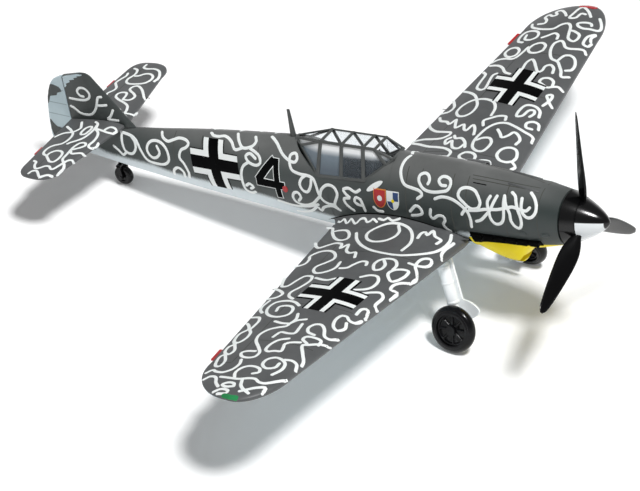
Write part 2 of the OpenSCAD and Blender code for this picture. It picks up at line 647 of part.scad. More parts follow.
// Bucket seat: a box with a well, and a back with bevelled corners and a shallow hollow.
module seat() {
    half = seat_w / 2;
    inner_w = seat_w - 2 * seat_wall;
    arm_h = seat_h + seat_back_t;
    bevel_h = seat_back_h - seat_bevel;
    color("#46494a") stance() translate([-seat_station - seat_len, 0, tub_top]) difference() {
        union() {
            translate([0, -half, 0]) cube([seat_len, seat_w, arm_h]);
            rotate([90, 0, 90]) linear_extrude(height = seat_back_t)
                polygon([[-half, 0], [half, 0], [half, bevel_h], [half - seat_bevel, seat_back_h],
                    [seat_bevel - half, seat_back_h], [-half, bevel_h]]);
        }
        translate([seat_back_t, -inner_w / 2, seat_h]) cube([seat_len, inner_w, seat_back_h]);
        translate([seat_back_t / 2, -inner_w / 2, arm_h]) cube([seat_back_t, inner_w, bevel_h - arm_h]);
    }
}
panel_w = 4.6;
panel_h = 2.9;
panel_t = 0.5;
panel_station = 39.2;
dial_r = 0.42;
dial_d = 0.12;
dial_spots = [[-0.28, 0.28], [0, 0.28], [0.28, 0.28], [-0.12, 0.66], [0.12, 0.66]];   // shares of its size
module instrument_panel() {
    side_h = panel_h * 0.35;
    color("#26282a") stance() translate([-panel_station, 0, tub_wall_h + lift]) rotate([90, 0, -90])
        difference() {
            linear_extrude(height = panel_t) polygon([[-panel_w / 2, 0], [panel_w / 2, 0],
                [panel_w / 2, side_h], [panel_w / 4, panel_h], [-panel_w / 4, panel_h], [-panel_w / 2, side_h]]);
            for (spot = dial_spots) translate([spot[0] * panel_w, spot[1] * panel_h, panel_t - dial_d])
                cylinder(r = dial_r, h = panel_t, $fn = small_fn);
        }
}
stick_station = 42.4;
stick_r = 0.18;
stick_len = 2.6;
grip_len = 0.9;
boot_h = 0.3;
module control_stick() {
    color("#1c1d1e") stance() translate([-stick_station, 0, tub_top]) {
        cylinder(r = stick_r + 0.3, h = boot_h, $fn = small_fn);
        cylinder(r = stick_r, h = stick_len, $fn = small_fn);
        translate([0, 0, stick_len - grip_len / 4]) cylinder(r = stick_r + 0.1, h = grip_len, $fn = small_fn);
    }
}
// Reflector sight on the panel: a box and the upright glass on it.
sight_w = 0.7;
sight_len = 0.8;
sight_h = 0.6;
reflector_h = 0.9;
reflector_t = 0.15;
module gunsight() {
    foot = tub_wall_h + panel_h * 0.8;
    color("#1c1d1e") stance() translate([seat_gap - panel_station, -sight_w / 2, foot]) {
        cube([sight_len, sight_w, sight_h]);
        translate([reflector_t, 0, 0]) cube([reflector_t, sight_w, sight_h + reflector_h]);
    }
}

// ---- canopy: a faceted greenhouse, clear panes inside and a metal frame outside ----
open_d = 2;                 // how deep a hollow runs on under the canopy's foot
roof_front = mix(screen_station, sill_front, 0.63);
roof_back = sill_back - 0.3;
floor_t = 0.001;            // the frame's open foot, where it needs no floor
// Corner points on one side: screen foot, roof front, sill front, roof back, sill back, glazing end.
// Each is [station, half-width, height] and the share of an outward offset that it takes.
canopy_corners = [
    [[screen_station, 1.5, deck_h - rim_drop + lift], [-0.2, 0.5, 0]],
    [[roof_front, roof_half_w, canopy_h], [-0.55, 0.75, 1]],
    [[sill_front, sill_half_w, sill_h + lift], [-0.2, 1.08, 0]],
    [[roof_back, roof_half_w, canopy_h + 0.05], [0.2, 0.75, 1]],
    [[sill_back, sill_half_w, sill_back_h + lift], [0.3, 1.08, 0]],
    [[glazing_end, 0.35, spine_h - 0.1 + lift], [0.2, 0.9, 0.6]]];
function canopy_pts(grow) = [for (side = [1, -1], c = canopy_corners) let (p = c[0], d = c[1] * grow)
    [-(p[0] + d[0]), side * (p[1] + d[1]), p[2] + d[2]]];
canopy_skin = [[0, 1, 2], [1, 3, 4], [1, 4, 2], [3, 5, 4]];
canopy_roof = [[0, 6, 7], [0, 7, 1], [1, 7, 9], [1, 9, 3], [3, 9, 11], [3, 11, 5]];
// Solid inside the canopy surface, closed below by a floor at depth "drop" under each foot point.
module canopy_solid(grow, drop) {
    top = canopy_pts(grow);
    feet = [0, 2, 4, 5, 11, 10, 8, 6];
    base = [for (i = feet) top[i] - [0, 0, max(drop, floor_t)]];
    n = len(top);
    skin = concat(canopy_skin, [for (f = canopy_skin) [f[2] + 6, f[1] + 6, f[0] + 6]], canopy_roof);
    k = len(feet);
    rim = [for (i = [0 : k - 1]) let (a = feet[i], b = feet[(i + 1) % k], next = n + (i + 1) % k)
        each [[a, b, n + i], [b, next, n + i]]];
    under = [[n, n + 1, n + 7], [n + 1, n + 6, n + 7], [n + 1, n + 2, n + 6], [n + 2, n + 5, n + 6],
        [n + 2, n + 3, n + 5], [n + 3, n + 4, n + 5]];
    polyhedron(points = concat(top, base), faces = concat(skin, rim, under), convexity = 6);
}
module canopy_glass() {
    color([0.8, 0.88, 0.92, 0.35]) stance() difference() {
        canopy_solid(0, 0);
        translate([0, 0, -lid_edge]) canopy_solid(-pane_t, open_d);
    }
}
// A window is a prism through one face, pulled in from the face's corners by the bar width.
corner_share = 1.55;        // a corner moves further than the edges beside it
window_t = 1.2;
function inward(tri, w) = let (m = (tri[0] + tri[1] + tri[2]) / 3)
    [for (p = tri) p + (m - p) / norm(m - p) * w * corner_share];
function plane_normal(t) = let (n = cross(t[1] - t[0], t[2] - t[0])) n / norm(n);
module window(outline) {
    n = plane_normal(outline);
    k = len(outline);
    polyhedron(points = concat([for (p = outline) p - n * window_t], [for (p = outline) p + n * window_t]),
        faces = concat([[for (i = [0 : k - 1]) i]], [[for (i = [k - 1 : -1 : 0]) i + k]],
            [for (i = [0 : k - 1]) let (j = (i + 1) % k) [i, i + k, j + k, j]]));
}
// Four-sided window between two rails, from share u0 to u1 along them and v0 to v1 across.
function on_rails(a, b, c, d, u, v) = mix(mix(a, b, u), mix(d, c, u), v);
function rail_window(a, b, c, d, u0, u1, v0, v1) =
    [for (w = [[u0, v0], [u1, v0], [u1, v1], [u0, v1]]) on_rails(a, b, c, d, w[0], w[1])];
hood_bays = 2;
module canopy_frame() {
    p = canopy_pts(0);
    bay = 1 / hood_bays;
    rib = bar_w / 2 / (roof_back - roof_front);
    edge = bar_w / (canopy_h - sill_h);
    color("#4a4a49") stance() difference() {
        canopy_solid(frame_t, 0);
        canopy_solid(glue_gap, open_d);
        window(rail_window(p[0], p[6], p[7], p[1], 0.12, 0.88, 0.14, 0.86));
        window(rail_window(p[3], p[9], p[11], p[5], 0.14, 0.86, 0.08, 0.8));
        for (i = [0 : hood_bays - 1])
            window(rail_window(p[1], p[3], p[9], p[7], i * bay + rib, (i + 1) * bay - rib, 0.12, 0.88));
        for (side = [0, 6]) {
            window(inward([p[side], p[side + 1], p[side + 2]], bar_w));
            window(inward([p[side + 3], p[side + 4], p[side + 5]], bar_w));
            for (i = [0 : hood_bays - 1])
                window(rail_window(p[side + 1], p[side + 3], p[side + 4], p[side + 2],
                    i * bay + rib * 1.1, (i + 1) * bay - rib * 1.1, edge * 0.7, 1 - edge));
        }
    }
}
mast_station = glazing_end + 0.9;
mast_len = 1;
mast_t = 0.4;
module antenna_mast() {
    color("#4a4a49") stance() translate([-mast_station, mast_t / 2, spine_h + seat_gap]) rotate([90, 0, 0])
        linear_extrude(height = mast_t) polygon([[-mast_len / 2, 0], [mast_len / 2, 0],
            [mast_len * 0.3, mast_h], [-mast_len * 0.15, mast_h]]);
}

// ---- propeller: everything here turns about the thrust line ----
hub_r = 2.3;
hub_half_t = 0.7;
socket_r = 0.95;
// Spinner radius at station s: a rounded cone.
function spinner_radius(s) = spinner_r * pow(clamp(s / spinner_len, 0, 1), 0.62);
shaft_front = 1.4;
module spin_solid(from, to) {
    steps = 10;
    stations = [for (i = [0 : steps]) mix(from, to, i / steps)];
    outline = [for (s = stations) if (spinner_radius(s) > 0) [spinner_radius(s), -s]];
    pocket = hub_half_t + seat_gap;
    rotate([0, 90, 0]) rotate_extrude() difference() {
        polygon(concat([[0, -from]], outline, [[0, -to]]));
        translate([0, -spinner_len - cut]) square([shaft_r + glue_gap, spinner_len + cut - shaft_front]);
        translate([0, -blade_station - pocket]) square([hub_r + seat_gap, 2 * pocket]);
    }
}
// The three holes that let the blade roots out of the spinner.
module blade_sockets() {
    for (i = [0 : 2]) translate([-blade_station, 0, 0]) rotate([120 * i - prop_clock, 0, 0])
        translate([0, 0, hub_r / 2]) cylinder(r = socket_r, h = 2 * spinner_r, $fn = mid_fn);
}
module spinner_cone() {
    color("#121214") stance() difference() {
        spin_solid(0, blade_station - seat_gap / 2);
        blade_sockets();
    }
}
module spinner_ring() {
    color("#121214") stance() difference() {
        spin_solid(blade_station + seat_gap / 2, spinner_len);
        blade_sockets();
    }
}
// Blade sections by radius share: chord share, blade angle to the disc, thickness.
blade_rows = [[0.13, 0.3, 58, 0.9], [0.19, 0.4, 54, 0.8], [0.25, 0.66, 48, 0.68], [0.34, 0.93, 43, 0.56],
    [0.46, 1, 38, 0.48], [0.6, 0.93, 33, 0.4], [0.75, 0.8, 29, 0.32], [0.88, 0.62, 27, 0.26],
    [0.96, 0.4, 26, 0.2], [0.995, 0.12, 26, 0.12]];
blade_steps = 8;
blade_axis = 0.45;          // where the blade's axis passes, as a share of its chord
blade_edge = 0.25;          // thickness of the edges, as a share of the section's
// One side of a section: u runs along the chord and v out of it, both turned by the blade's angle.
function blade_side(row, side) = [for (i = [0 : blade_steps]) let (x = (1 - cos(180 * i / blade_steps)) / 2,
    u = (x - blade_axis) * blade_chord * row[1],
    v = side * row[3] / 2 * mix(blade_edge, 1, sqrt(max(sin(180 * x), 0))))
    [u * sin(row[2]) + v * cos(row[2]), v * sin(row[2]) - u * cos(row[2]), prop_r * row[0]]];
mid_fn = 32;                // facets round a middle-sized pin
module blade() {
    loft([for (row = blade_rows) ring(blade_side(row, 1), blade_side(row, -1))]);
    cylinder(r = socket_r - 0.25, h = prop_r * 0.16, $fn = mid_fn);
}
module propeller() {
    color("#121214") stance() translate([-blade_station, 0, 0]) rotate([-prop_clock, 0, 0]) difference() {
        union() {
            forward_from(hub_half_t) cylinder(r = hub_r, h = 2 * hub_half_t);
            for (i = [0 : 2]) rotate([120 * i, 0, 0]) blade();
        }
        forward_from(hub_half_t + cut) cylinder(r = shaft_r + glue_gap, h = 2 * (hub_half_t + cut));
    }
}
collar_station = bulkhead_front + bush_len + end_play;
shaft_back = collar_station + collar_t + 0.3;
module prop_shaft() {
    color("#9a9c9e") stance() forward_from(shaft_back) cylinder(r = shaft_r, h = shaft_back - shaft_front);
}
module shaft_collar() {
    color("#9a9c9e") stance() forward_from(collar_station + collar_t)
        tube(collar_r, shaft_r + glue_gap, collar_t);
}

// ---- main gear: built square on the port wheel's centre, then leaned out ----
hub_w = tyre_w * 0.62;
hub_gap = 0.02;
leg_offset = tyre_w / 2 + end_play + leg_r;
module at_main_wheel(side) {
    stance() on_side(side) translate([-main_wheel_station, half_track, -main_wheel_d])
        rotate([leg_lean, 0, 0]) children();
}
module wheel_axis() {
    rotate([-90, 0, 0]) children();
}
module main_tyre(side) {
    color("#101012") at_main_wheel(side) wheel_axis() rotate_extrude() difference() {
        union() {
            translate([tyre_r - tyre_round, 0]) circle(r = tyre_round);
            translate([rim_r + hub_gap, -hub_w / 2]) square([tyre_r - tyre_round - rim_r, hub_w]);
        }
        translate([rim_r + hub_gap - tyre_r, -tyre_w]) square([tyre_r, 2 * tyre_w]);
    }
}
spoke_count = 8;
spoke_w = 0.35;
rim_t = 0.3;
boss_t = 0.45;
web = 0.5;
module main_hub(side) {
    bore = axle_r + running_gap;
    color("#1b1b1d") at_main_wheel(side) wheel_axis() difference() {
        union() {
            difference() {
                translate([0, 0, -hub_w / 2]) cylinder(r = rim_r, h = hub_w);
                translate([0, 0, web / 2]) cylinder(r = rim_r - rim_t, h = hub_w);
                translate([0, 0, -web / 2 - hub_w]) cylinder(r = rim_r - rim_t, h = hub_w);
            }
            translate([0, 0, -hub_w / 2]) cylinder(r = axle_r + boss_t, h = hub_w);
            for (i = [0 : spoke_count - 1]) rotate([0, 0, i * 360 / spoke_count])
                translate([axle_r + rim_t, -spoke_w / 2, 0])
                    cube([rim_r - axle_r - 1.5 * rim_t, spoke_w, hub_w * 0.4]);
        }
        translate([0, 0, -hub_w]) cylinder(r = bore, h = 2 * hub_w);
    }
}
cap_r = axle_r + 0.3;
cap_t = 0.35;
module main_axle(side) {
    reach = hub_w / 2 + end_play;
    color("#2a2b2c") at_main_wheel(side) wheel_axis() {
        translate([0, 0, -leg_offset - leg_r])
            cylinder(r = axle_r, h = leg_offset + leg_r + reach + cap_t);
        translate([0, 0, reach]) cylinder(r = cap_r, h = cap_t);
    }
}
// The leg runs from the axle up to the wing's underside, leaned out and raked forward.
fork_r = leg_r + 0.25;
sleeve_t = 0.22;
foot_y = half_track - leg_offset * cos(leg_lean);
foot_d = main_wheel_d + leg_offset * sin(leg_lean);
leg_height = foot_d - wing_d - 1.6;   // rise of the leg, to the middle of the wing's lower half
leg_top_y = foot_y - leg_height * tan(leg_lean);
leg_top_station = main_wheel_station + leg_height / cos(leg_lean) * tan(leg_rake);
function under_wing_h(s, y) = wing_h(y) + wing_rise(y, clamp((s - wing_le(y)) / wing_chord(y), 0, 1), -1);
leg_top_h = under_wing_h(leg_top_station - 1.2, leg_top_y);
leg_len = (foot_d + leg_top_h) / (cos(leg_lean) * cos(leg_rake)) - leg_r / 2;
module at_leg(side) {
    stance() translate([-main_wheel_station, side * half_track, -main_wheel_d])
        rotate([side * leg_lean, 0, 0]) translate([0, -side * leg_offset, 0])
            rotate([0, -leg_rake, 0]) children();
}
module gear_leg(side) {
    sleeve_from = leg_len * 0.35;
    sleeve_to = leg_len * 0.9;
    color("#dfe7ea") at_leg(side) difference() {
        union() {
            rotate_extrude($fn = mid_fn) polygon([[0, -leg_r / 2], [leg_r, -leg_r / 2],
                [leg_r, sleeve_from], [leg_r + sleeve_t, sleeve_from], [leg_r + sleeve_t, sleeve_to],
                [leg_r, sleeve_to], [leg_r, leg_len], [0, leg_len]]);
            translate([0, -leg_r, 0]) wheel_axis() cylinder(r = fork_r, h = 2 * leg_r, $fn = mid_fn);
        }
        translate([0, -2 * leg_r, 0]) wheel_axis()
            cylinder(r = axle_r + glue_gap, h = 4 * leg_r, $fn = mid_fn);
    }
}
// The door hangs on the inboard side of the leg; its skirt covers the front of the wheel.
door_w = 2.4;
door_skirt_r = tyre_r + 1;
door_skirt_h = 0.3;
door_top_gap = 0.3;         // between the door's top and the wing
module gear_door(side) {
    inboard = leg_r + sleeve_t + seat_gap + door_t;
    skirt = 2 * door_skirt_r;
    door_y = side > 0 ? -inboard : inboard - door_t;
    color("#dfe7ea") at_leg(side) translate([0, door_y, 0]) wheel_axis() linear_extrude(height = door_t) {
        translate([-door_w / 2, door_top_gap - leg_len])
            square([door_w, leg_len - door_top_gap - tyre_r + 1]);
        intersection() {
            circle(r = door_skirt_r);
            translate([-door_w / 2, -door_skirt_h - skirt]) square([skirt, skirt]);
        }
    }
}
module gear_leg_left() {
    gear_leg(1);
}
module gear_leg_right() {
    gear_leg(-1);
}
module gear_door_left() {
    gear_door(1);
}
module gear_door_right() {
    gear_door(-1);
}
module main_tyre_left() {
    main_tyre(1);
}
module main_tyre_right() {
    main_tyre(-1);
}
module main_hub_left() {
    main_hub(1);
}
module main_hub_right() {
    main_hub(-1);
}
module main_axle_left() {
    main_axle(1);
}
module main_axle_right() {
    main_axle(-1);
}

// ---- tail wheel, fixed on its axle ----
fork_t = 0.4;
fork_gap = 0.15;
fork_half = tail_wheel_w / 2 + fork_gap;
module at_tail_wheel() {
    stance() translate([-tail_wheel_station, 0, -tail_wheel_d]) children();
}
tail_dish_t = 0.3;          // width of the dished ring on each side, half of it sunk
module tail_wheel() {
    half = tail_wheel_w / 2;
    round_r = tail_wheel_w * 0.4;
    color("#101012") at_tail_wheel() wheel_axis() difference() {
        rotate_extrude() {
            translate([tail_wheel_r - round_r, half - round_r]) circle(r = round_r, $fn = mid_fn);
            translate([tail_wheel_r - round_r, round_r - half]) circle(r = round_r, $fn = mid_fn);
            translate([0, -half]) square([tail_wheel_r - round_r, tail_wheel_w]);
            translate([0, round_r - half]) square([tail_wheel_r, tail_wheel_w - 2 * round_r]);
        }
        translate([0, 0, -tail_wheel_w])
            cylinder(r = tail_axle_r + glue_gap, h = 2 * tail_wheel_w, $fn = mid_fn);
        for (side = [-1, 1]) translate([0, 0, side * half - tail_dish_t / 2])
            tube(tail_wheel_r * 0.55, tail_axle_r + 0.25, tail_dish_t);
    }
}
module tail_axle() {
    half = fork_half + fork_t;
    color("#2a2b2c") at_tail_wheel() wheel_axis() translate([0, 0, -half])
        cylinder(r = tail_axle_r, h = 2 * half, $fn = mid_fn);
}
fork_crown_h = tail_wheel_r + 0.25;
crown_t = 0.4;
arm_w = 0.9;
strut_r = 0.5;
module tail_wheel_fork() {
    strut_top = tail_wheel_d + bottom_h(tail_wheel_station - 2 * strut_r) - 0.05;
    fork_out = fork_half + fork_t;
    color("#1b1b1d") at_tail_wheel() difference() {
        union() {
            for (y = [fork_half, -fork_out]) translate([-arm_w / 2, y, -arm_w / 2])
                cube([arm_w, fork_t, fork_crown_h + crown_t + arm_w / 2]);
            translate([-arm_w / 2, -fork_out, fork_crown_h]) cube([arm_w, 2 * fork_out, crown_t]);
            translate([0, 0, fork_crown_h])
                cylinder(r = strut_r, h = strut_top - fork_crown_h, $fn = mid_fn);
        }
        wheel_axis() translate([0, 0, -fork_out - cut])
            cylinder(r = tail_axle_r + glue_gap, h = 2 * (fork_out + cut), $fn = mid_fn);
    }
}

fuselage_left();
fuselage_right();
nose_bulkhead();
lower_cowl();
oil_cooler_core();
exhaust_left();
exhaust_right();
air_intake();
gun_barrels();
belly_pan();
wing_lower();
wing_upper_left();
wing_upper_right();
radiator_left();
radiator_right();
aileron_tabs();
tailplane_left();
tailplane_right();
elevator_tabs();
fin();
rudder();
cockpit_tub();
seat();
instrument_panel();
control_stick();
gunsight();
canopy_glass();
canopy_frame();
antenna_mast();
shaft_bush();
prop_shaft();
shaft_collar();
spinner_cone();
spinner_ring();
propeller();
gear_leg_left();
gear_leg_right();
gear_door_left();
gear_door_right();
main_tyre_left();
main_tyre_right();
main_hub_left();
main_hub_right();
main_axle_left();
main_axle_right();
tail_wheel_fork();
tail_wheel();
tail_axle();
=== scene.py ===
# %% [markdown]
# # A 1:87 propeller fighter, dressed over its CAD frame
#
# The real thing is a collectors' model the length of a finger: moulded plastic, sprayed grey above and pale
# blue below, then printed with white worm lines. The CAD frame already has every part in its place, so this
# file only gives each part its finished skin. Each cell makes one kind of piece or finish.

# %% Load the frame
import math

import bpy
import numpy as np
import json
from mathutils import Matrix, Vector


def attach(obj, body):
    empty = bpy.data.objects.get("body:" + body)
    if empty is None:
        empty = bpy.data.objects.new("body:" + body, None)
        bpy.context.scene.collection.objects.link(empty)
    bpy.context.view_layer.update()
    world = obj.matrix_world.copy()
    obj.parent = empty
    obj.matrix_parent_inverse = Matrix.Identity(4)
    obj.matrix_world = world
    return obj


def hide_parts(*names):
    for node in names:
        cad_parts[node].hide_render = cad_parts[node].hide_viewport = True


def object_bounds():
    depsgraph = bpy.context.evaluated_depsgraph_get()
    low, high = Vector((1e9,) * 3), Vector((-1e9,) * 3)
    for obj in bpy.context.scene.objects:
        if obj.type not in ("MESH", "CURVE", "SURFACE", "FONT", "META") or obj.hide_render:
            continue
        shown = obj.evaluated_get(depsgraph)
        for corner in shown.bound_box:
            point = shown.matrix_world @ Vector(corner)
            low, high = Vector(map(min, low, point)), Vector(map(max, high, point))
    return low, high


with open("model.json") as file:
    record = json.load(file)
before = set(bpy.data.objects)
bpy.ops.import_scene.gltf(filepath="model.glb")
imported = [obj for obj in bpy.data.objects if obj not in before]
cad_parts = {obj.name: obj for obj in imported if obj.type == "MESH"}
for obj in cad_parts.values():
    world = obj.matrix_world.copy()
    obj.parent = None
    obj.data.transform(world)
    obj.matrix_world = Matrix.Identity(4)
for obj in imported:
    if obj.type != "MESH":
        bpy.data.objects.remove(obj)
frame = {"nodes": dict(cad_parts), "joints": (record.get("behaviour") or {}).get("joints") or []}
CAD_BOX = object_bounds()
JOINTS = {joint["name"]: joint for joint in frame["joints"]}
SIDES = (("left", 1), ("right", -1))

# %% [markdown]
# ## The aircraft's own axes
#
# The model stands tail-down, so nothing on it is square to the floor. Shapes are far easier to write along the
# aircraft itself: station back from the spinner's tip, side toward port, height over the thrust line. The
# propeller's joint gives that line exactly, so a point is turned into the row frame with three unit vectors.

# %% Stations, sides and heights in millimetres, turned into metres in the row frame
MM = 0.001
BLADE_STATION = 4.3
FORWARD = np.array(JOINTS["propeller_spin"]["axis"], float)
FORWARD /= np.linalg.norm(FORWARD)
PORT = np.array([0.0, 1.0, 0.0])
UP = np.cross(FORWARD, PORT)
NOSE = np.array(JOINTS["propeller_spin"]["pos_m"], float) + BLADE_STATION * MM * FORWARD


def place(p):
    """Metres of (station, side, height) in mm: nose - station x forward + side x port + height x up."""
    p = np.asarray(p, float) * MM
    return NOSE - p[..., :1] * FORWARD + p[..., 1:2] * PORT + p[..., 2:] * UP


def unplace(q):
    """The other way round: each coordinate is the offset from the nose measured along its axis, in mm."""
    d = (np.asarray(q, float) - NOSE) / MM
    return np.stack([-d @ FORWARD, d @ PORT, d @ UP], -1)


def stack(*parts):
    """Arrays of station, side and height, spread to one shape and joined as points."""
    return np.stack(np.broadcast_arrays(*[np.asarray(p, float) for p in parts]), -1)


print("nose at", np.round(NOSE, 5), "pitch", round(math.degrees(math.asin(FORWARD[2])), 2), "degrees")

# %% [markdown]
# ## From a grid of points to a closed mesh
#
# Nearly every part of an aircraft is a loft: a row of sections, each going out along one chain of points and
# back along another. The two chains are what closes the ends, because a strip of quads fits between them.
# The signed volume tells whether the faces point outward, so no piece can be left inside out.

# %% One closed skin over a row of sections
def mix(a, b, t):
    """Straight blend: a at t 0, b at t 1."""
    return a + (b - a) * t


def loft_faces(m, n):
    """Quads between m rings of n points, and end caps that join point j of a ring to point n - 1 - j."""
    i, j = np.meshgrid(np.arange(m - 1), np.arange(n), indexing="ij")
    a, b = i * n + j, i * n + (j + 1) % n
    sides = np.stack([a, b, b + n, a + n], -1).reshape(-1, 4)
    j = np.arange(n // 2 - 1)
    front = np.stack([j, n - 1 - j, n - 2 - j, j + 1], -1)
    return np.concatenate([sides, front, front[:, ::-1] + (m - 1) * n])


def ring(out, back):
    """A section: out along the first chain and back along the second. Chains are (..., k, 3) arrays."""
    return np.concatenate([out, back[..., ::-1, :]], -2)


def signed_volume(points, faces):
    """Sum over the faces of corner . (corner x corner) / 6, positive where the faces point outward."""
    a, b, c, d = (points[faces[:, i]] for i in range(4))
    return (np.einsum("ij,ij->i", a, np.cross(b, c)) + np.einsum("ij,ij->i", a, np.cross(c, d))).sum() / 6


def join(shapes):
    """Several (points, faces) shapes as one: each one's face numbers move up by the points before it."""
    starts = np.cumsum([0] + [len(p) for p, _ in shapes[:-1]])
    return np.concatenate([p for p, _ in shapes]), np.concatenate([f + s for (_, f), s in zip(shapes, starts)])


def outward(points, faces):
    """The same shape, with its faces turned over if its signed volume about its middle is negative."""
    in_frame = place(points)
    return points, faces if signed_volume(in_frame - in_frame.mean(0), faces) > 0 else faces[:, ::-1]


def loft(rings):
    """Points and outward faces of a loft through rings, an (m, n, 3) array in mm."""
    return outward(rings.reshape(-1, 3), loft_faces(*rings.shape[:2]))


def wrapped(points):
    """Points and outward faces of a grid that closes on itself both ways."""
    n, k = points.shape[:2]
    i, j = np.meshgrid(np.arange(n), np.arange(k), indexing="ij")
    a, b = i * k + j, i * k + (j + 1) % k
    c, d = (i + 1) % n * k + (j + 1) % k, (i + 1) % n * k + j
    return outward(points.reshape(-1, 3), np.stack([a, b, c, d], -1).reshape(-1, 4))


# %% Put a shape into Blender as a piece that rides on its CAD body
import bmesh

WELD, SPECK = 2e-7, 1e-8


def quad_mesh(name, points, faces):
    """A mesh of four-cornered faces, from an (n, 3) array of metres and an (m, 4) array of point numbers."""
    mesh = bpy.data.meshes.new(name)
    mesh.vertices.add(len(points))
    mesh.vertices.foreach_set("co", points.astype(np.float32).ravel())
    mesh.loops.add(faces.size)
    mesh.loops.foreach_set("vertex_index", np.ascontiguousarray(faces, np.int32).ravel())
    mesh.polygons.add(len(faces))
    mesh.polygons.foreach_set("loop_start", np.arange(0, faces.size, 4, dtype=np.int32))
    mesh.update(calc_edges=True)
    return mesh


def weld(mesh):
    """Merges points closer than WELD metres, drops what has no size, and counts edges without two faces."""
    bm = bmesh.new()
    bm.from_mesh(mesh)
    bmesh.ops.remove_doubles(bm, verts=bm.verts, dist=WELD)
    bmesh.ops.dissolve_degenerate(bm, edges=bm.edges, dist=SPECK)
    bmesh.ops.delete(bm, geom=[e for e in bm.edges if not e.link_faces], context="EDGES")
    open_edges = sum(len(e.link_faces) != 2 for e in bm.edges)
    bm.to_mesh(mesh)
    bm.free()
    return open_edges


def mark_points(mesh, name, values):
    """Stores a number for each point as an attribute of the mesh, for its material to read."""
    mesh.attributes.new(name, "FLOAT", "POINT").data.foreach_set("value", values.astype(np.float32))


def make_piece(name, shape, material, body="airframe", replaces=(), slot=None, sharp=32):
    """Builds a shape as a piece: welded, smooth up to the sharp angle in degrees, and tied to its CAD body.

    Every point also keeps its station, side and height in mm, as the attribute plan_mm, for the materials."""
    mesh = quad_mesh(name, place(shape[0]), shape[1])
    open_edges = weld(mesh)
    co = np.zeros(len(mesh.vertices) * 3)
    mesh.vertices.foreach_get("co", co)
    plan = mesh.attributes.new("plan_mm", "FLOAT_VECTOR", "POINT")
    plan.data.foreach_set("vector", unplace(co.reshape(-1, 3)).astype(np.float32).ravel())
    mesh.polygons.foreach_set("use_smooth", np.ones(len(mesh.polygons), bool))
    mesh.set_sharp_from_angle(angle=math.radians(sharp))
    mesh.materials.append(material)
    piece = bpy.data.objects.new(name, mesh)
    bpy.context.scene.collection.objects.link(piece)
    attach(piece, body)
    if replaces:
        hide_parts(*replaces)
    print(f"{name}: {len(mesh.polygons)} faces, {open_edges} open edges")
    return piece


# %% [markdown]
# ## The fuselage's sections
#
# A fighter's fuselage grows from a round nose to a tall oval at the cockpit and shrinks to a thin tail. Eleven
# measured sections are enough if a smooth curve passes through them. Each section is a superellipse,
# whose upper half is a little leaner than an ellipse, because the cowl's shoulders slope.

# %% A smooth curve through a table of sections
NOSE_END, SCREEN, GLAZING_END, TAIL_END = 6.7, 35.4, 53.5, 97.5
SPINNER_R, DECK_H, BELLY_D, SPINE_H, TAIL_TOP = 4.2, 7.3, 7.5, 7.6, 4.8
HALF_W, TAIL_HALF_W, SHELL_T, COWL_SPLIT, THINNEST = 5.0, 0.9, 0.7, -3.3, 0.2


def curve(rows, column, x):
    """Cubic Hermite curve through a table's rows; a row's slope is that of the line between its neighbours."""
    rows = np.asarray(rows, float)
    at, value = rows[:, 0], rows[:, column]
    slope = np.empty_like(value)
    slope[1:-1] = (value[2:] - value[:-2]) / (at[2:] - at[:-2])
    slope[0], slope[-1] = (value[1] - value[0]) / (at[1] - at[0]), (value[-1] - value[-2]) / (at[-1] - at[-2])
    x = np.asarray(x, float)
    i = np.clip(np.searchsorted(at, x, side="left") - 1, 0, len(at) - 2)
    h = at[i + 1] - at[i]
    t = np.clip((x - at[i]) / h, 0, 1)
    return ((2 * t**3 - 3 * t**2 + 1) * value[i] + (t**3 - 2 * t**2 + t) * h * slope[i]
            + (3 * t**2 - 2 * t**3) * value[i + 1] + (t**3 - t**2) * h * slope[i + 1])


def cowl_row(x, top, low, wide, power):
    """A section between the round nose (share 0) and the cockpit (share 1) for each of its sizes."""
    return [mix(NOSE_END, SCREEN, x), mix(SPINNER_R, DECK_H, top), -mix(SPINNER_R, BELLY_D, low),
            mix(SPINNER_R, HALF_W, wide), power]


def rear_row(x, fall, girth, power):
    """A section of the rear fuselage, by shares of its length, the spine's fall and the cockpit's girth."""
    return [mix(GLAZING_END, TAIL_END, x), mix(SPINE_H, TAIL_TOP, fall), -BELLY_D * girth, HALF_W * girth,
            power]


BODY_ROWS = [
    cowl_row(0, 0, 0, 0, 2), cowl_row(0.185, 0.38, 0.42, 0.6, 2), cowl_row(0.463, 0.72, 0.72, 0.9, 2),
    cowl_row(0.707, 0.9, 0.92, 1, 1.95), cowl_row(1, 1, 1, 1, 1.8),
    [mix(SCREEN, GLAZING_END, 0.585), mix(DECK_H, SPINE_H, 0.8), -BELLY_D * 0.985, HALF_W * 0.98, 1.8],
    rear_row(0, 0, 0.9, 1.85), rear_row(0.375, 0.44, 0.66, 1.95), rear_row(0.716, 1, 0.4, 2),
    [mix(GLAZING_END, TAIL_END, 0.943), TAIL_TOP * 0.99, -BELLY_D * 0.2, TAIL_HALF_W * 1.2, 2],
    [TAIL_END, TAIL_TOP * 0.97, -BELLY_D * 0.14, TAIL_HALF_W, 2]]


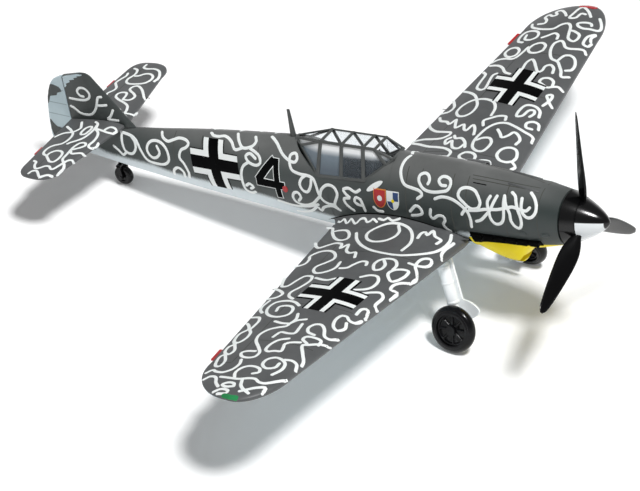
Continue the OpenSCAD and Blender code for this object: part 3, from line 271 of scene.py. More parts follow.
def body_point(s, angle, inset=0.0):
    """Point of the section at station s: y = w cos(a)^(2/p), z = h sin(a)^(2/p).

    An angle of 90 degrees is the top and -90 the bottom. inset makes the half-width w and height h smaller."""
    s, a = np.broadcast_arrays(np.asarray(s, float), np.radians(np.asarray(angle, float)))
    up = a >= 0
    power = np.where(up, curve(BODY_ROWS, 4, s), 2.0)
    tall = np.maximum(np.where(up, curve(BODY_ROWS, 1, s), -curve(BODY_ROWS, 2, s)) - inset, THINNEST)
    wide = np.maximum(curve(BODY_ROWS, 3, s) - inset, THINNEST)
    y = wide * np.maximum(np.cos(a), 0) ** (2 / power)
    z = np.where(up, 1, -1) * tall * np.abs(np.sin(a)) ** (2 / power)
    return stack(s, y, z)


def body_angle(s, z):
    """Angle, in degrees, at which the section passes the height z: the arcsine of the height's share."""
    s, z = np.broadcast_arrays(np.asarray(s, float), np.asarray(z, float))
    top = np.degrees(np.arcsin(np.clip(z / curve(BODY_ROWS, 1, s), 0, 1) ** (curve(BODY_ROWS, 4, s) / 2)))
    low = -np.degrees(np.arcsin(np.clip(z / curve(BODY_ROWS, 2, s), 0, 1)))
    return np.where(z >= 0, top, low)


# %% [markdown]
# ## The wing's sections
#
# The wing tapers in straight lines to a rounded tip, which is half an ellipse, and rises toward the tip. Its
# section is the classic four-digit one: a thickness curve laid over a slightly arched mean line.

# %% Plan, dihedral and section of the wing
ROOT_Y, TIP_Y, HALF_SPAN = 4.8, 48.8, 57.2
ROOT_LE, ROOT_TE, OUTER_LE, OUTER_TE, TIP_STATION = 23.0, 46.4, 26.8, 40.7, 32.3
WING_D, DIHEDRAL, CAMBER, EDGE_T, ROOT_THICK, TIP_THICK = 4.4, 5.9, 0.02, 0.24, 0.165, 0.12


def wing_edges(y):
    """Leading and trailing edge stations at a side distance y: straight lines, then an ellipse at the tip."""
    y = np.abs(np.asarray(y, float))
    t = (np.clip(y, ROOT_Y, TIP_Y) - ROOT_Y) / (TIP_Y - ROOT_Y)
    tip = np.sqrt(np.maximum(1 - np.clip((y - TIP_Y) / (HALF_SPAN - TIP_Y), 0, 1) ** 2, 0))
    front = TIP_STATION + (mix(ROOT_LE, OUTER_LE, t) - TIP_STATION) * np.where(y > TIP_Y, tip, 1)
    back = TIP_STATION + (mix(ROOT_TE, OUTER_TE, t) - TIP_STATION) * np.where(y > TIP_Y, tip, 1)
    return front, back


def half_thick(x):
    """Half-thickness of a four-digit section at share x of its chord, per unit of thickness."""
    return 5 * (0.2969 * np.sqrt(x) - 0.126 * x - 0.3516 * x**2 + 0.2843 * x**3 - 0.1036 * x**4)


def wing_height(y, x, side):
    """Height of the wing: dihedral line + chord x (mean line + side x half-thickness) + half of the edge."""
    front, back = wing_edges(y)
    y = np.abs(np.asarray(y, float))
    chord = back - front
    thick = mix(ROOT_THICK, TIP_THICK, np.clip(y / HALF_SPAN, 0, 1))
    rise = chord * (4 * CAMBER * x * (1 - x) + side * thick * half_thick(x))
    return (-WING_D + np.maximum(y - ROOT_Y, 0) * math.tan(math.radians(DIHEDRAL)) + rise
            + side * np.minimum(EDGE_T, chord * 0.05) / 2)


def wing_chain(y, x, side, lift=0.0):
    """Chain of section points at side distance y, at shares x of the chord; side 1 is the upper skin."""
    front, back = wing_edges(y)
    return stack(mix(front, back, x), y, wing_height(y, x, side) + lift)


def cosine_shares(steps):
    """Shares 0 to 1 that crowd together at both ends, as (1 - cos) / 2 of an even turn."""
    return (1 - np.cos(np.linspace(0, np.pi, steps + 1))) / 2


def root_skin(s, side):
    """Height of the wing's skin where it meets the fuselage, at station s."""
    return wing_height(ROOT_Y, np.clip((s - ROOT_LE) / (ROOT_TE - ROOT_LE), 0, 1), side)


# %% [markdown]
# ## Finishes
#
# Almost everything here is ABS: some of it sprayed, some left as moulded. What tells such finishes apart is
# small: how rough the surface is, how its colour drifts over a few millimetres, and how fine its grain is. So
# each finish is a Principled shader with two noises on Object coordinates, whose scales are real millimetres.

# %% Colours from sRGB, and the one helper that adds a node
def hue(code):
    """sRGB hex to linear RGBA: c / 12.92 where dark, else ((c + 0.055) / 1.055) to the power 2.4."""
    c = np.array([int(code[i:i + 2], 16) for i in (1, 3, 5)]) / 255
    return (*np.where(c <= 0.04045, c / 12.92, ((c + 0.055) / 1.055) ** 2.4), 1.0)


def add(tree, kind, inputs=None, **settings):
    """Adds a node: settings go on the node, and each input gets a value or a link from another's output.

    kind is the node's type in Blender without ShaderNode in front. A node as input means its first output."""
    node = tree.nodes.new("ShaderNode" + kind)
    for name, value in settings.items():
        setattr(node, name, value)
    for name, value in (inputs or {}).items():
        value = value.outputs[0] if isinstance(value, bpy.types.Node) else value
        if isinstance(value, bpy.types.NodeSocket):
            tree.links.new(value, node.inputs[name])
        else:
            node.inputs[name].default_value = value
    return node


# %% The common ground of all finishes: drift of colour and gloss, and a fine grain
def surface(name, pale, deep, rough, drift_mm, grain_mm, depth_um, colour=None, **fixed):
    """Colour and roughness drift over drift_mm; grain that is grain_mm wide stands depth_um high.

    pale and deep are the two colours. colour, if given, makes the base colour from the tree, the drifting
    colour and the grain. fixed sets plain sockets."""
    material = bpy.data.materials.new(name)
    material.use_nodes = True
    material.diffuse_color = hue(pale)
    tree = material.node_tree
    tree.nodes.clear()
    coords = add(tree, "TexCoord").outputs["Object"]
    cloud = add(tree, "TexNoise", {"Vector": coords, "Scale": 1000 / drift_mm, "Detail": 4.0,
                                  "Roughness": 0.6}).outputs["Fac"]
    share = add(tree, "MapRange", {"Value": cloud, "From Min": 0.35, "From Max": 0.65})
    tint = add(tree, "Mix", {0: share, 6: hue(pale), 7: hue(deep)}, data_type="RGBA").outputs[2]
    grain = add(tree, "TexNoise", {"Vector": coords, "Scale": 1000 / grain_mm,
                                  "Detail": 3.0}).outputs["Fac"]
    gloss = add(tree, "MapRange", {"Value": cloud, "From Min": 0.3, "From Max": 0.7,
                                   "To Min": rough[0], "To Max": rough[1]})
    bump = add(tree, "Bump", {"Height": grain, "Strength": 1.0, "Distance": depth_um * 1e-6})
    base = colour(tree, tint, grain) if colour else tint
    shader = add(tree, "BsdfPrincipled", {"Base Color": base, "Roughness": gloss, "Normal": bump, **fixed})
    add(tree, "OutputMaterial", {"Surface": shader})
    return material


# %% [markdown]
# ## Sprayed camouflage
#
# The upper surfaces are sprayed a mid grey with a satin sheen. The fuselage's grey is a little lighter than the
# wings', a painted highlight, and deepens to a greenish grey down the sides, partly paint and partly painted
# shade of the side faces; then it gives way to pale blue along a soft, sprayed border that climbs toward the
# tail.
# The border is a line over the body, so it comes from the piece's own attribute of station and height.

# %% Camouflage grey for wings and tail, and the fuselage's grey over green over blue, with painted light and shade
SPRAY_IOR = 1.5
grey_spray = surface("grey_sprayed_satin_enamel", "#5C5E5F", "#505253", (0.42, 0.52), 9, 0.35, 3,
                     IOR=SPRAY_IOR)
blue_spray = surface("pale_blue_sprayed_satin_enamel", "#C6D8DE", "#BACED5", (0.4, 0.5), 8, 0.35, 3,
                     IOR=SPRAY_IOR)
SHOULDER, WAIST, BORDER_LEN, BORDER_H, BORDER_FOOT = 6.6, 2.6, 100.0, 6.0, -4.4
BORDER = [(0.0, 0.0), (0.20, 0.02), (0.222, 0.34), (0.25, 0.2), (0.27, 0.03), (0.30, 0.0), (0.50, 0.20),
          (0.54, 0.26), (0.60, 0.44), (0.70, 0.50), (0.77, 0.54), (0.82, 0.66), (0.90, 0.72), (1.0, 0.76)]


def plan_axes(tree):
    """Station, side and height in mm as three outputs, from the plan_mm attribute that every piece has."""
    plan = add(tree, "Attribute", attribute_name="plan_mm")
    return add(tree, "SeparateXYZ", {0: plan.outputs[1]}).outputs


def spray_border_and_painted_shade(tree, tint, grain):
    """Grey above, green-grey below the shoulder, partly painted shade; pale blue under a border height given by
    the station.

    The border is a curve through BORDER, in shares of BORDER_LEN along the body and of BORDER_H over its foot.
    The grain moves it by up to half a millimetre, which leaves a soft, speckled edge."""
    at = plan_axes(tree)
    low = add(tree, "MapRange", {"Value": at[2], "From Min": SHOULDER, "From Max": WAIST},
              interpolation_type="SMOOTHSTEP")
    # Painted shade: below the shoulder the grey darkens toward #343C3B, partly a greenish paint, partly the
    # side faces' shade.
    side = add(tree, "Mix", {0: low, 6: tint, 7: hue("#343C3B")}, data_type="RGBA").outputs[2]
    along = add(tree, "Math", {0: at[0], 1: BORDER_LEN}, operation="DIVIDE")
    border = add(tree, "FloatCurve", {1: along})
    for x, y in BORDER:
        border.mapping.curves[0].points.new(x, y)
    height = add(tree, "Math", {0: border, 1: BORDER_H, 2: BORDER_FOOT}, operation="MULTIPLY_ADD")
    over = add(tree, "Math", {0: at[2], 1: height}, operation="SUBTRACT")
    ragged = add(tree, "Math", {0: grain, 1: 0.5, 2: over}, operation="MULTIPLY_ADD")
    under = add(tree, "MapRange", {"Value": ragged, "From Min": 0.75, "From Max": -0.25},
                interpolation_type="SMOOTHSTEP")
    return add(tree, "Mix", {0: under, 6: side, 7: hue("#DDE7EB")}, data_type="RGBA").outputs[2]


# Painted highlight: the fuselage's grey is lighter than the wings' grey of the same camouflage.
body_spray = surface("fuselage_satin_enamel_with_painted_light_and_shade", "#6F7170", "#606261", (0.38, 0.5), 9, 0.35, 3,
                     spray_border_and_painted_shade, IOR=SPRAY_IOR)


def wrapped_edge(tree, tint, _):
    """Grey up to 0.55 mm behind the leading edge, by the piece's front_mm, and pale blue from 0.85 mm."""
    back = add(tree, "Attribute", attribute_name="front_mm").outputs[2]
    share = add(tree, "MapRange", {"Value": back, "From Min": 0.55, "From Max": 0.85})
    return add(tree, "Mix", {0: share, 6: hue("#5E6061"), 7: tint}, data_type="RGBA").outputs[2]


under_wing_spray = surface("under_wing_pale_blue_satin_enamel", "#C2D2D8", "#B4C6CC", (0.4, 0.5), 8, 0.35, 3,
                           wrapped_edge, IOR=SPRAY_IOR)
fin_spray = surface("fin_dark_sprayed_satin_enamel", "#3B4140", "#303635", (0.4, 0.52), 6, 0.35, 3,
                    IOR=SPRAY_IOR)

# %% [markdown]
# ## The other finishes
#
# Printed lines and national markings are ink: flat in colour, a touch glossier than the spray under them. The
# yellow cowl is sprayed, the propeller and wheels are gloss or satin black ABS straight from the mould, and the
# panes are clear polystyrene. Each has its plastic's usual IOR, but for the panes, where a lower one keeps the
# reflections faint. Only real metal is metallic.

# %% Inks, coloured spray and moulded plastic
SOOT_SHINE, INK_SHINE, LOW_SHINE, CAP_SHINE = ({"Specular IOR Level": v} for v in (0.03, 0.02, 0.2, 0.45))
white_ink = surface("white_pad_printed_ink", "#FAFDFC", "#F0F5F4", (0.36, 0.46), 6, 0.3, 2, IOR=1.5)
black_ink = surface("black_pad_printed_ink", "#040405", "#08090A", (0.34, 0.44), 6, 0.3, 2,
                    IOR=1.5, **INK_SHINE)
orange_ink = surface("orange_pad_printed_ink", "#E8902E", "#DA8124", (0.36, 0.46), 5, 0.3, 2, IOR=1.5)
red_ink = surface("red_pad_printed_ink", "#C21E22", "#AC181C", (0.36, 0.46), 5, 0.3, 2, IOR=1.5)
blue_ink = surface("blue_pad_printed_ink", "#274C86", "#1F3F72", (0.36, 0.46), 5, 0.3, 2, IOR=1.5)
yellow_spray = surface("yellow_sprayed_satin_enamel", "#FFEA12", "#F8DE08", (0.36, 0.46), 6, 0.35, 3,
                       IOR=SPRAY_IOR, **LOW_SHINE)
light_blue_abs = surface("gear_pale_moulded_abs", "#F7FAFB", "#EDF2F4", (0.34, 0.44), 5, 0.3, 3, IOR=1.53)
gloss_black = surface("propeller_gloss_black_abs", "#050506", "#0A0A0B", (0.12, 0.18), 7, 0.4, 1.5,
                      IOR=1.53, **LOW_SHINE)
tyre_black = surface("tyre_black_soft_pvc", "#08080A", "#101012", (0.14, 0.22), 5, 0.3, 4,
                     IOR=1.53, **LOW_SHINE)
hub_black = surface("hub_satin_black_abs", "#0C0C0E", "#151517", (0.14, 0.22), 4, 0.25, 4,
                    IOR=1.53, **LOW_SHINE)
# Black paint of the stubs and the cooler core; on the body behind the stubs the same black is painted shade of
# their recess.
exhaust_black = surface("stub_black_paint_and_painted_recess_shade", "#040404", "#0A0A09", (0.6, 0.75), 2, 0.2, 8,
                        IOR=1.5, **SOOT_SHINE)
frame_grey = surface("canopy_bar_grey_paint", "#505352", "#464948", (0.4, 0.5), 4, 0.25, 3, IOR=1.5)
cockpit_grey = surface("cockpit_dark_grey_abs", "#212427", "#191B1D", (0.5, 0.62), 4, 0.25, 6, IOR=1.53)
panel_black = surface("instrument_panel_black_abs", "#1C1D1F", "#2A2B2D", (0.45, 0.6), 1.5, 0.2, 8, IOR=1.53)
tip_green = surface("tip_light_green_clear_paint", "#2D8F55", "#237A45", (0.14, 0.22), 2, 0.3, 2, IOR=1.5)
tip_red = surface("tip_light_red_clear_paint", "#C0272E", "#A81C24", (0.14, 0.22), 2, 0.3, 2, IOR=1.5)
joint_shadow = surface("panel_line_shadow_in_grey_spray", "#454641", "#3A3B37", (0.5, 0.6), 4, 0.3, 2, IOR=1.5)
bush_brass = surface("turned_brass", "#C6A45A", "#B08D45", (0.24, 0.34), 1.5, 0.15, 4, Metallic=1.0)
shaft_steel = surface("drawn_steel", "#A3A5A8", "#8D9094", (0.22, 0.32), 1.5, 0.15, 4, Metallic=1.0)

# %% Clear panes, side panes with a painted reflection outside, and the spinner's white sector
pane = surface("canopy_clear_polystyrene", "#FBFDFE", "#F5F9FB", (0.02, 0.05), 6, 0.8, 0.2, IOR=1.3,
               **{"Transmission Weight": 1.0})


def painted_reflection_mask(tree):
    """Where the painted reflection goes: one on a pane's outer face, by the piece's outside attribute, less one
    where it is seen from behind.
    """
    away = add(tree, "NewGeometry").outputs["Backfacing"]
    outside = add(tree, "Attribute", attribute_name="outside").outputs[2]
    return add(tree, "Math", {0: outside, 1: away}, operation="SUBTRACT", use_clamp=True)


def painted_sky_reflection(tree, tint, _):
    """Painted reflection on the outside: blue-grey at the sill, paler above, near white under the roof rail.
    Clear inside.
    """
    height = plan_axes(tree)[2]
    up = add(tree, "MapRange", {"Value": height, "From Min": 4.6, "From Max": 7.4})
    top = add(tree, "MapRange", {"Value": height, "From Min": 6.6, "From Max": 7.6})
    low = add(tree, "Mix", {0: up, 6: hue("#76838F"), 7: tint}, data_type="RGBA").outputs[2]
    film = add(tree, "Mix", {0: top, 6: low, 7: hue("#FBFDFE")}, data_type="RGBA").outputs[2]
    return add(tree, "Mix", {0: painted_reflection_mask(tree), 6: hue("#FAFCFD"), 7: film}, data_type="RGBA").outputs[2]


# Painted reflection: the side panes' colour, blue-grey low and near white under the rail, stands for the room
# they mirror.
side_pane = surface("canopy_side_polystyrene_with_painted_reflection", "#A9B8C3", "#93A4B1", (0.03, 0.08), 3, 0.8, 0.2,
                    painted_sky_reflection, IOR=1.3)
# The painted reflection hides little of the cockpit in the front panes, more in the rear ones, most under the
# roof rail.
FRONT_HOLD, REAR_HOLD, RAIL_HOLD = 0.14, 0.62, 0.95
tree = side_pane.node_tree
at = plan_axes(tree)
rear = add(tree, "MapRange", {"Value": at[0], "From Min": 43.4, "From Max": 45.0,
                              "To Min": FRONT_HOLD, "To Max": REAR_HOLD})
top = add(tree, "MapRange", {"Value": at[2], "From Min": 6.7, "From Max": 7.5})
held = add(tree, "Mix", {0: top, 2: rear, 3: RAIL_HOLD})
hidden = add(tree, "Math", {0: held, 1: painted_reflection_mask(tree)}, operation="MULTIPLY")
clear = add(tree, "Math", {0: 1.0, 1: hidden}, operation="SUBTRACT")
tree.links.new(clear.outputs[0], tree.nodes["Principled BSDF"].inputs["Transmission Weight"])


def painted_sector(tree, tint, _):
    """White where the piece's sector_mm attribute, a distance inside the sector's border, is above zero."""
    inside = add(tree, "Attribute", attribute_name="sector_mm").outputs[2]
    share = add(tree, "MapRange", {"Value": inside, "From Min": -0.05, "From Max": 0.05})
    return add(tree, "Mix", {0: share, 6: tint, 7: hue("#E9EEF0")}, data_type="RGBA").outputs[2]


spinner_black = surface("spinner_gloss_black_enamel", "#050506", "#0A0A0B", (0.12, 0.18), 7, 0.4, 1.2,
                        painted_sector, IOR=1.5, **CAP_SHINE)
print(len(bpy.data.materials), "materials")


# %% [markdown]
# ## Fuselage shells
#
# The body is moulded in two halves. Each is a lofted wall: an outer chain from the top edge to the bottom edge
# of the half, and the same chain inset by the wall's thickness. Sweeping in numpy gives a smooth skin with the
# cockpit opening and the wing's notch as plain limits of the angle, with no boolean cuts.

# %% Edges of a shell: the cockpit's rim above, the cowl's split and the wing root below
WING_FRONT, WING_BACK, SEAM, NOTCH, STEP = ROOT_LE - 0.5, ROOT_TE + 0.1, 0.03, 0.08, 0.04
SILL_FRONT, SILL_BACK = mix(SCREEN, GLAZING_END, 0.254), mix(SCREEN, GLAZING_END, 0.718)
SILL_H, SILL_BACK_H = 3.8, 3.5


def rim_angle(s):
    """Angle of the shell's top edge: 90 when closed, else the angle of the cockpit rim's height."""
    rim = np.interp(s, [SCREEN, SILL_FRONT, SILL_BACK, GLAZING_END],
                    [DECK_H - 0.4, SILL_H, SILL_BACK_H, SPINE_H - 0.1])
    return np.where((s < SCREEN) | (s > GLAZING_END), 90.0, body_angle(s, rim))


def foot_angle(s):
    """Angle of the shell's bottom edge: the cowl's split, the wing's upper skin, then -90 behind the wing."""
    share = np.clip((s - WING_FRONT) / (ROOT_LE - WING_FRONT), 0, 1)
    ramp = mix(COWL_SPLIT, root_skin(ROOT_LE, 1) + SEAM, share)
    low = np.where(s <= ROOT_LE, ramp, root_skin(s, 1) + 2 * SEAM)
    return np.where(s > WING_BACK, -90.0, body_angle(s, low))


SHELL_STATIONS = np.unique(np.round(np.concatenate([
    np.linspace(NOSE_END, WING_FRONT, 36), mix(ROOT_LE, ROOT_TE, cosine_shares(48)),
    np.linspace(WING_BACK + NOTCH, TAIL_END, 110),
    [SCREEN - STEP, SCREEN + STEP, SILL_FRONT, SILL_BACK, GLAZING_END - STEP, GLAZING_END + STEP,
     WING_BACK, WING_BACK + NOTCH]]), 4))


def half_shell(side):
    """Rings of one half: body points from rim to foot on the outside, and back on the inset wall."""
    s = SHELL_STATIONS[:, None]
    angle = mix(rim_angle(s), foot_angle(s), np.linspace(0, 1, 41)[None, :])
    rings = ring(body_point(s, angle), body_point(s, angle, SHELL_T))
    rings[..., 1] *= side
    return rings


for name, side in SIDES:
    make_piece(f"fuselage_skin_{name}", loft(half_shell(side)), body_spray, replaces=[f"fuselage_{name}"],
               slot="camouflage_grey")

# %% [markdown]
# ## Lower cowl and belly pan
#
# Under the split line the body is closed by solid pieces: the yellow cowl, with the oil cooler's bulge and its
# oblong mouth, and the pan between the wing roots. Both are segments of the same sections, so they meet the
# shells without a step. The mouth is cut with a Boolean modifier, which keeps its edge crisp.

# %% Segments of the body under a given height
COOLER_FRONT, COOLER_BACK, COOLER_DROP, COOLER_LIP = 13.4, 22.0, 2.9, 2.2
COOLER_DEEP = COOLER_FRONT + COOLER_LIP
INTAKE_W, INTAKE_H, INTAKE_DEEP, INTAKE_LIP, INTAKE_SINK = 4.2, 1.5, 2.6, 0.3, 0.45
INTAKE_TOP = float(curve(BODY_ROWS, 2, COOLER_DEEP)) - INTAKE_LIP - INTAKE_SINK


def belly_rings(s, z, bulge=0.0):
    """Arc of the section from side to side under height z, lower by bulge x cos^0.6, closed by a flat lid.

    The arc's two ends lie a hair under the lid's, so that the piece has no knife edge."""
    s, z, bulge = (np.broadcast_to(np.asarray(v, float), np.shape(s))[:, None] for v in (s, z, bulge))
    t = np.linspace(-1, 1, 61)[None, :]
    arc = body_point(s, -90 + (90 + body_angle(s, z)) * np.abs(t))
    arc[..., 1] *= np.sign(t)
    arc[..., 2] -= bulge * np.maximum(np.cos(np.pi / 2 * t), 0) ** 0.6
    lid = arc.copy()
    lid[..., 2] = z
    arc[:, [0, -1], 2] -= 0.02
    return ring(arc, lid)


def cooler_drop(s):
    """Depth of the bulge: a straight lip forward, then a quarter cosine back to nothing."""
    back = np.cos(np.pi / 2 * np.clip((s - COOLER_DEEP) / (COOLER_BACK - COOLER_DEEP), 0, 1))
    return COOLER_DROP * np.where(s < COOLER_DEEP, np.clip((s - COOLER_FRONT) / COOLER_LIP, 0, 1), back)


s = np.unique(np.concatenate([np.linspace(NOSE_END, COOLER_FRONT, 20),
                              np.linspace(COOLER_FRONT, COOLER_DEEP, 9),
                              np.linspace(COOLER_DEEP, WING_FRONT - SEAM, 24)]))
lower_cowl = make_piece("lower_cowl_yellow", loft(belly_rings(s, COWL_SPLIT - SEAM, cooler_drop(s))),
                        yellow_spray, replaces=["lower_cowl"], slot="signal_yellow")
s = np.concatenate([[WING_FRONT + 0.05], mix(ROOT_LE, ROOT_TE, cosine_shares(30)), [ROOT_TE + 0.05]])
pan = belly_rings(s, root_skin(s, -1) - 2 * SEAM)
pan[..., 2] = np.maximum(pan[..., 2], -BELLY_D + 0.15)
make_piece("belly_skin", loft(pan), blue_spray, replaces=["belly_pan"], slot="pale_blue")


# %% Cut the cooler's mouth
def block(low, high):
    """Points and faces of a box between two (station, side, height) corners: a loft of its front and back."""
    corner, square = np.array([low, high], float), ((0, 0), (1, 0), (1, 1), (0, 1))
    return loft(np.array([[[corner[i, 0], corner[j, 1], corner[k, 2]] for j, k in square] for i in (0, 1)]))


def cut_with(piece, shape):
    """Takes a closed shape out of a piece with an exact Boolean, applied, so nothing of the cutter stays."""
    cutter = make_piece("cutter", shape, piece.data.materials[0])
    bpy.context.view_layer.update()
    knife = piece.modifiers.new("mouth", "BOOLEAN")
    knife.operation, knife.solver, knife.object = "DIFFERENCE", "EXACT", cutter
    cut = bpy.data.meshes.new_from_object(piece.evaluated_get(bpy.context.evaluated_depsgraph_get()))
    piece.modifiers.clear()
    piece.data = cut
    bpy.data.objects.remove(cutter)
    print(piece.name, "after its cut:", len(cut.polygons), "faces")


cut_with(lower_cowl, block([COOLER_FRONT - 1, -INTAKE_W / 2, INTAKE_TOP - INTAKE_H],
                           [COOLER_DEEP + INTAKE_DEEP, INTAKE_W / 2, INTAKE_TOP]))

# %% [markdown]
# ## Wings
#
# The wing is three mouldings: one full-span lower half and two upper halves, split along the mean line. Ribs
# crowd toward the rounded tip, where the outline turns fastest, and points toward both edges of the chord.

# %% Lower half from tip to tip, and the two upper halves
CHORD = cosine_shares(40)
TIP_GAP = 0.02
RIBS = np.concatenate([np.linspace(ROOT_Y, TIP_Y, 45)[:-1],
                       mix(TIP_Y, HALF_SPAN, np.sin(np.linspace(0, np.pi / 2, 22)))])
RIBS[-1] -= TIP_GAP


def wing_rings(ribs, top, bottom, sign=1):
    """Rings between two heights of the section: side 1 upper skin, 0 mean line, -1 lower skin."""
    y = ribs[:, None]
    rings = ring(wing_chain(y, CHORD, top), wing_chain(y, CHORD, bottom, SEAM if bottom == 0 else 0.0))
    rings[..., 1] *= sign
    return rings


lower = np.concatenate([wing_rings(RIBS[::-1], 0, -1, -1), wing_rings(RIBS, 0, -1)])
wing_lower = make_piece("wing_lower_skin", loft(lower), under_wing_spray, replaces=["wing_lower"],
                        slot="pale_blue")
at = unplace([v.co for v in wing_lower.data.vertices])
behind = at[:, 0] - wing_edges(np.minimum(np.abs(at[:, 1]), HALF_SPAN))[0]
mark_points(wing_lower.data, "front_mm", behind)
for name, side in SIDES:
    ribs = np.concatenate([[ROOT_Y - 0.9], RIBS])
    make_piece(f"wing_upper_skin_{name}", loft(wing_rings(ribs, 1, 0, side)), grey_spray,
               replaces=[f"wing_upper_{name}"], slot="camouflage_grey")

# %% [markdown]
# ## Radiators under the wing
#
# Each is a shallow tray that hangs under the wing with an open slot at its front. A fighter of this size shows
# only its front lip from the side, so one lofted body with the slot cut in is enough.

# %% Two trays and their slots
RAD_Y, RAD_W, RAD_FRONT, RAD_LEN, RAD_DROP = 13.0, 11.0, 33.0, 9.0, 1.1
SLOT_DEEP, SLOT_H, SLOT_IN, SLOT_DROP = 1.5, 0.55, 0.5, 3.1
RAD_ROWS = [[0, RAD_DROP], [0.3, RAD_DROP * 1.25], [0.7, RAD_DROP * 0.95], [1, 0.25]]


def radiator(side):
    """Rings along the tray: the wing's underside above, and below it a drop that is halved at both sides."""
    share = np.linspace(0, 1, 33)[:, None]
    s = RAD_FRONT + share * RAD_LEN
    t = np.linspace(-1, 1, 25)[None, :]
    y = RAD_Y + t * RAD_W / 2
    front, back = wing_edges(y)
    lid = stack(s, y, wing_height(y, (s - front) / (back - front), -1) - 2 * SEAM)
    low = lid.copy()
    low[..., 2] -= curve(RAD_ROWS, 1, share) * (0.5 + 0.5 * np.clip((1 - np.abs(t)) * 6, 0, 1) ** 0.5)
    rings = ring(lid, low)
    rings[..., 1] *= side
    return rings


for name, side in SIDES:
    tray = make_piece(f"radiator_tray_{name}", loft(radiator(side)), blue_spray, replaces=[f"radiator_{name}"],
                      slot="pale_blue")
    foot = -WING_D + (RAD_Y - ROOT_Y) * math.tan(math.radians(DIHEDRAL)) - SLOT_DROP
    cut_with(tray, block([RAD_FRONT - 0.5, side * RAD_Y - RAD_W / 2 + SLOT_IN, foot],
                         [RAD_FRONT + SLOT_DEEP, side * RAD_Y + RAD_W / 2 - SLOT_IN, foot + SLOT_H]))

# %% [markdown]
# ## Tail
#
# Tailplanes, fin and rudder are thin flat lofts. The tailplane's tip follows a squarer curve than an ellipse,
# |y|^2.65, which is what a broad, blunt tip comes down to. The rudder's rear edge is a smooth curve by height.

# %% Tailplanes
TAIL_H, TAIL_OUTER_Y, TAIL_SPAN, TAIL_POWER, TAIL_THICK = 5.1, 14.5, 18.1, 2.65, 0.11
TAIL_LE, TAIL_TE = 86.8, 97.5
TAIL_OUTER_LE, TAIL_OUTER_TE = TAIL_LE + 2.7, TAIL_TE - 0.6
TAIL_TIP = (TAIL_OUTER_LE + TAIL_OUTER_TE) / 2 + 0.4


def tail_edges(y):
    """Straight edges out to the tip, then a superellipse toward the tip's station."""
    y = np.abs(np.asarray(y, float))
    t = np.clip(y / TAIL_OUTER_Y, 0, 1)
    u = np.clip((y - TAIL_OUTER_Y) / (TAIL_SPAN - TAIL_OUTER_Y), 0, 1)
    turn = np.maximum(1 - u**TAIL_POWER, 0) ** (1 / TAIL_POWER)
    return (TAIL_TIP + (mix(TAIL_LE, TAIL_OUTER_LE, t) - TAIL_TIP) * turn,
            TAIL_TIP + (mix(TAIL_TE, TAIL_OUTER_TE, t) - TAIL_TIP) * turn)


def tail_half(y, x):
    """Half-thickness of the tailplane at share x of its chord, with a thin blunt edge added."""
    front, back = tail_edges(y)
    return (back - front) * TAIL_THICK * half_thick(x) + np.minimum(0.1, (back - front) * 0.04)


def tailplane(sign):
    """Rings from root to tip: the upper skin out, the lower skin back."""
    y = np.concatenate([np.linspace(0.73, TAIL_OUTER_Y, 20)[:-1],
                        mix(TAIL_OUTER_Y, TAIL_SPAN, np.sin(np.linspace(0, np.pi / 2, 16)) ** 0.8)])[:, None]
    y[-1] -= TIP_GAP
    front, back = tail_edges(y)
    skins = [stack(mix(front, back, CHORD), y, TAIL_H + k * tail_half(y, CHORD)) for k in (1, -1)]
    rings = ring(*skins)
    rings[..., 1] *= sign
    return rings


for name, side in SIDES:
    make_piece(f"tailplane_skin_{name}", loft(tailplane(side)), grey_spray, replaces=[f"tailplane_{name}"],
               slot="camouflage_grey")

# %% Fin and rudder
FIN_FOOT, FIN_TOP, FIN_FOOT_S, FIN_TIP_S, FIN_SHOULDER, FIN_REAR = 4.83, 13.9, 85.2, 92.3, 13.05, 97.55
FIN_NOSE, FIN_THICK, FIN_THIN, REAR_SHARE, RUDDER_EDGE = 0.06, 0.7, 0.35, 0.8, 0.1
HINGE, RUDDER_REAR, RUDDER_FOOT, RUDDER_TOP = 97.7, 102.8, -0.9, 12.9
RUDDER_ROWS = [[0, 1.6], [0.094, 0.15], [0.246, 0], [0.58, 0.7], [0.812, 1.8], [0.935, 3], [1, 4.7]]


def fin_half(z):
    """Greatest half-thickness of the fin by height: a straight taper from its foot to its top."""
    return mix(FIN_THICK, FIN_THIN, np.clip((z - FIN_FOOT) / (FIN_TOP - FIN_FOOT), 0, 1))


def fin_front(z):
    """Station of the fin's straight leading edge at height z."""
    return mix(FIN_FOOT_S, FIN_TIP_S, (z - FIN_FOOT) / (FIN_TOP - FIN_FOOT))


def fin_side(z, x):
    """Half-thickness at share x of the chord: out from the nose as a square root, then in to the hinge."""
    nose = mix(FIN_NOSE, fin_half(z), np.sqrt(np.minimum(1, x * 3.2)))
    return mix(nose, fin_half(z) * REAR_SHARE, np.clip(x * 1.4 - 0.4, 0, 1))


def rudder_side(z, x):
    """Half-thickness of the rudder, thinning straight from the hinge line to its rear edge."""
    return mix(fin_half(np.maximum(z, FIN_FOOT)) * REAR_SHARE, RUDDER_EDGE, x)


def fin_rings():
    """Rings by height; over the shoulder both edges and the thickness draw in to the rounded top."""
    z = np.concatenate([np.linspace(FIN_FOOT, FIN_SHOULDER, 24)[:-1],
                        np.linspace(FIN_SHOULDER, FIN_TOP, 12)])[:, None]
    up = np.clip((z - FIN_SHOULDER) / (FIN_TOP - FIN_SHOULDER), 0, 1)
    front = fin_front(z) + 0.5 * up**4
    back = mix(FIN_REAR, FIN_TIP_S + 1.5, up)
    half = fin_side(z, CHORD) * (1 - 0.5 * up**3)
    return ring(*[stack(mix(front, back, CHORD), k * half, z) for k in (1, -1)])


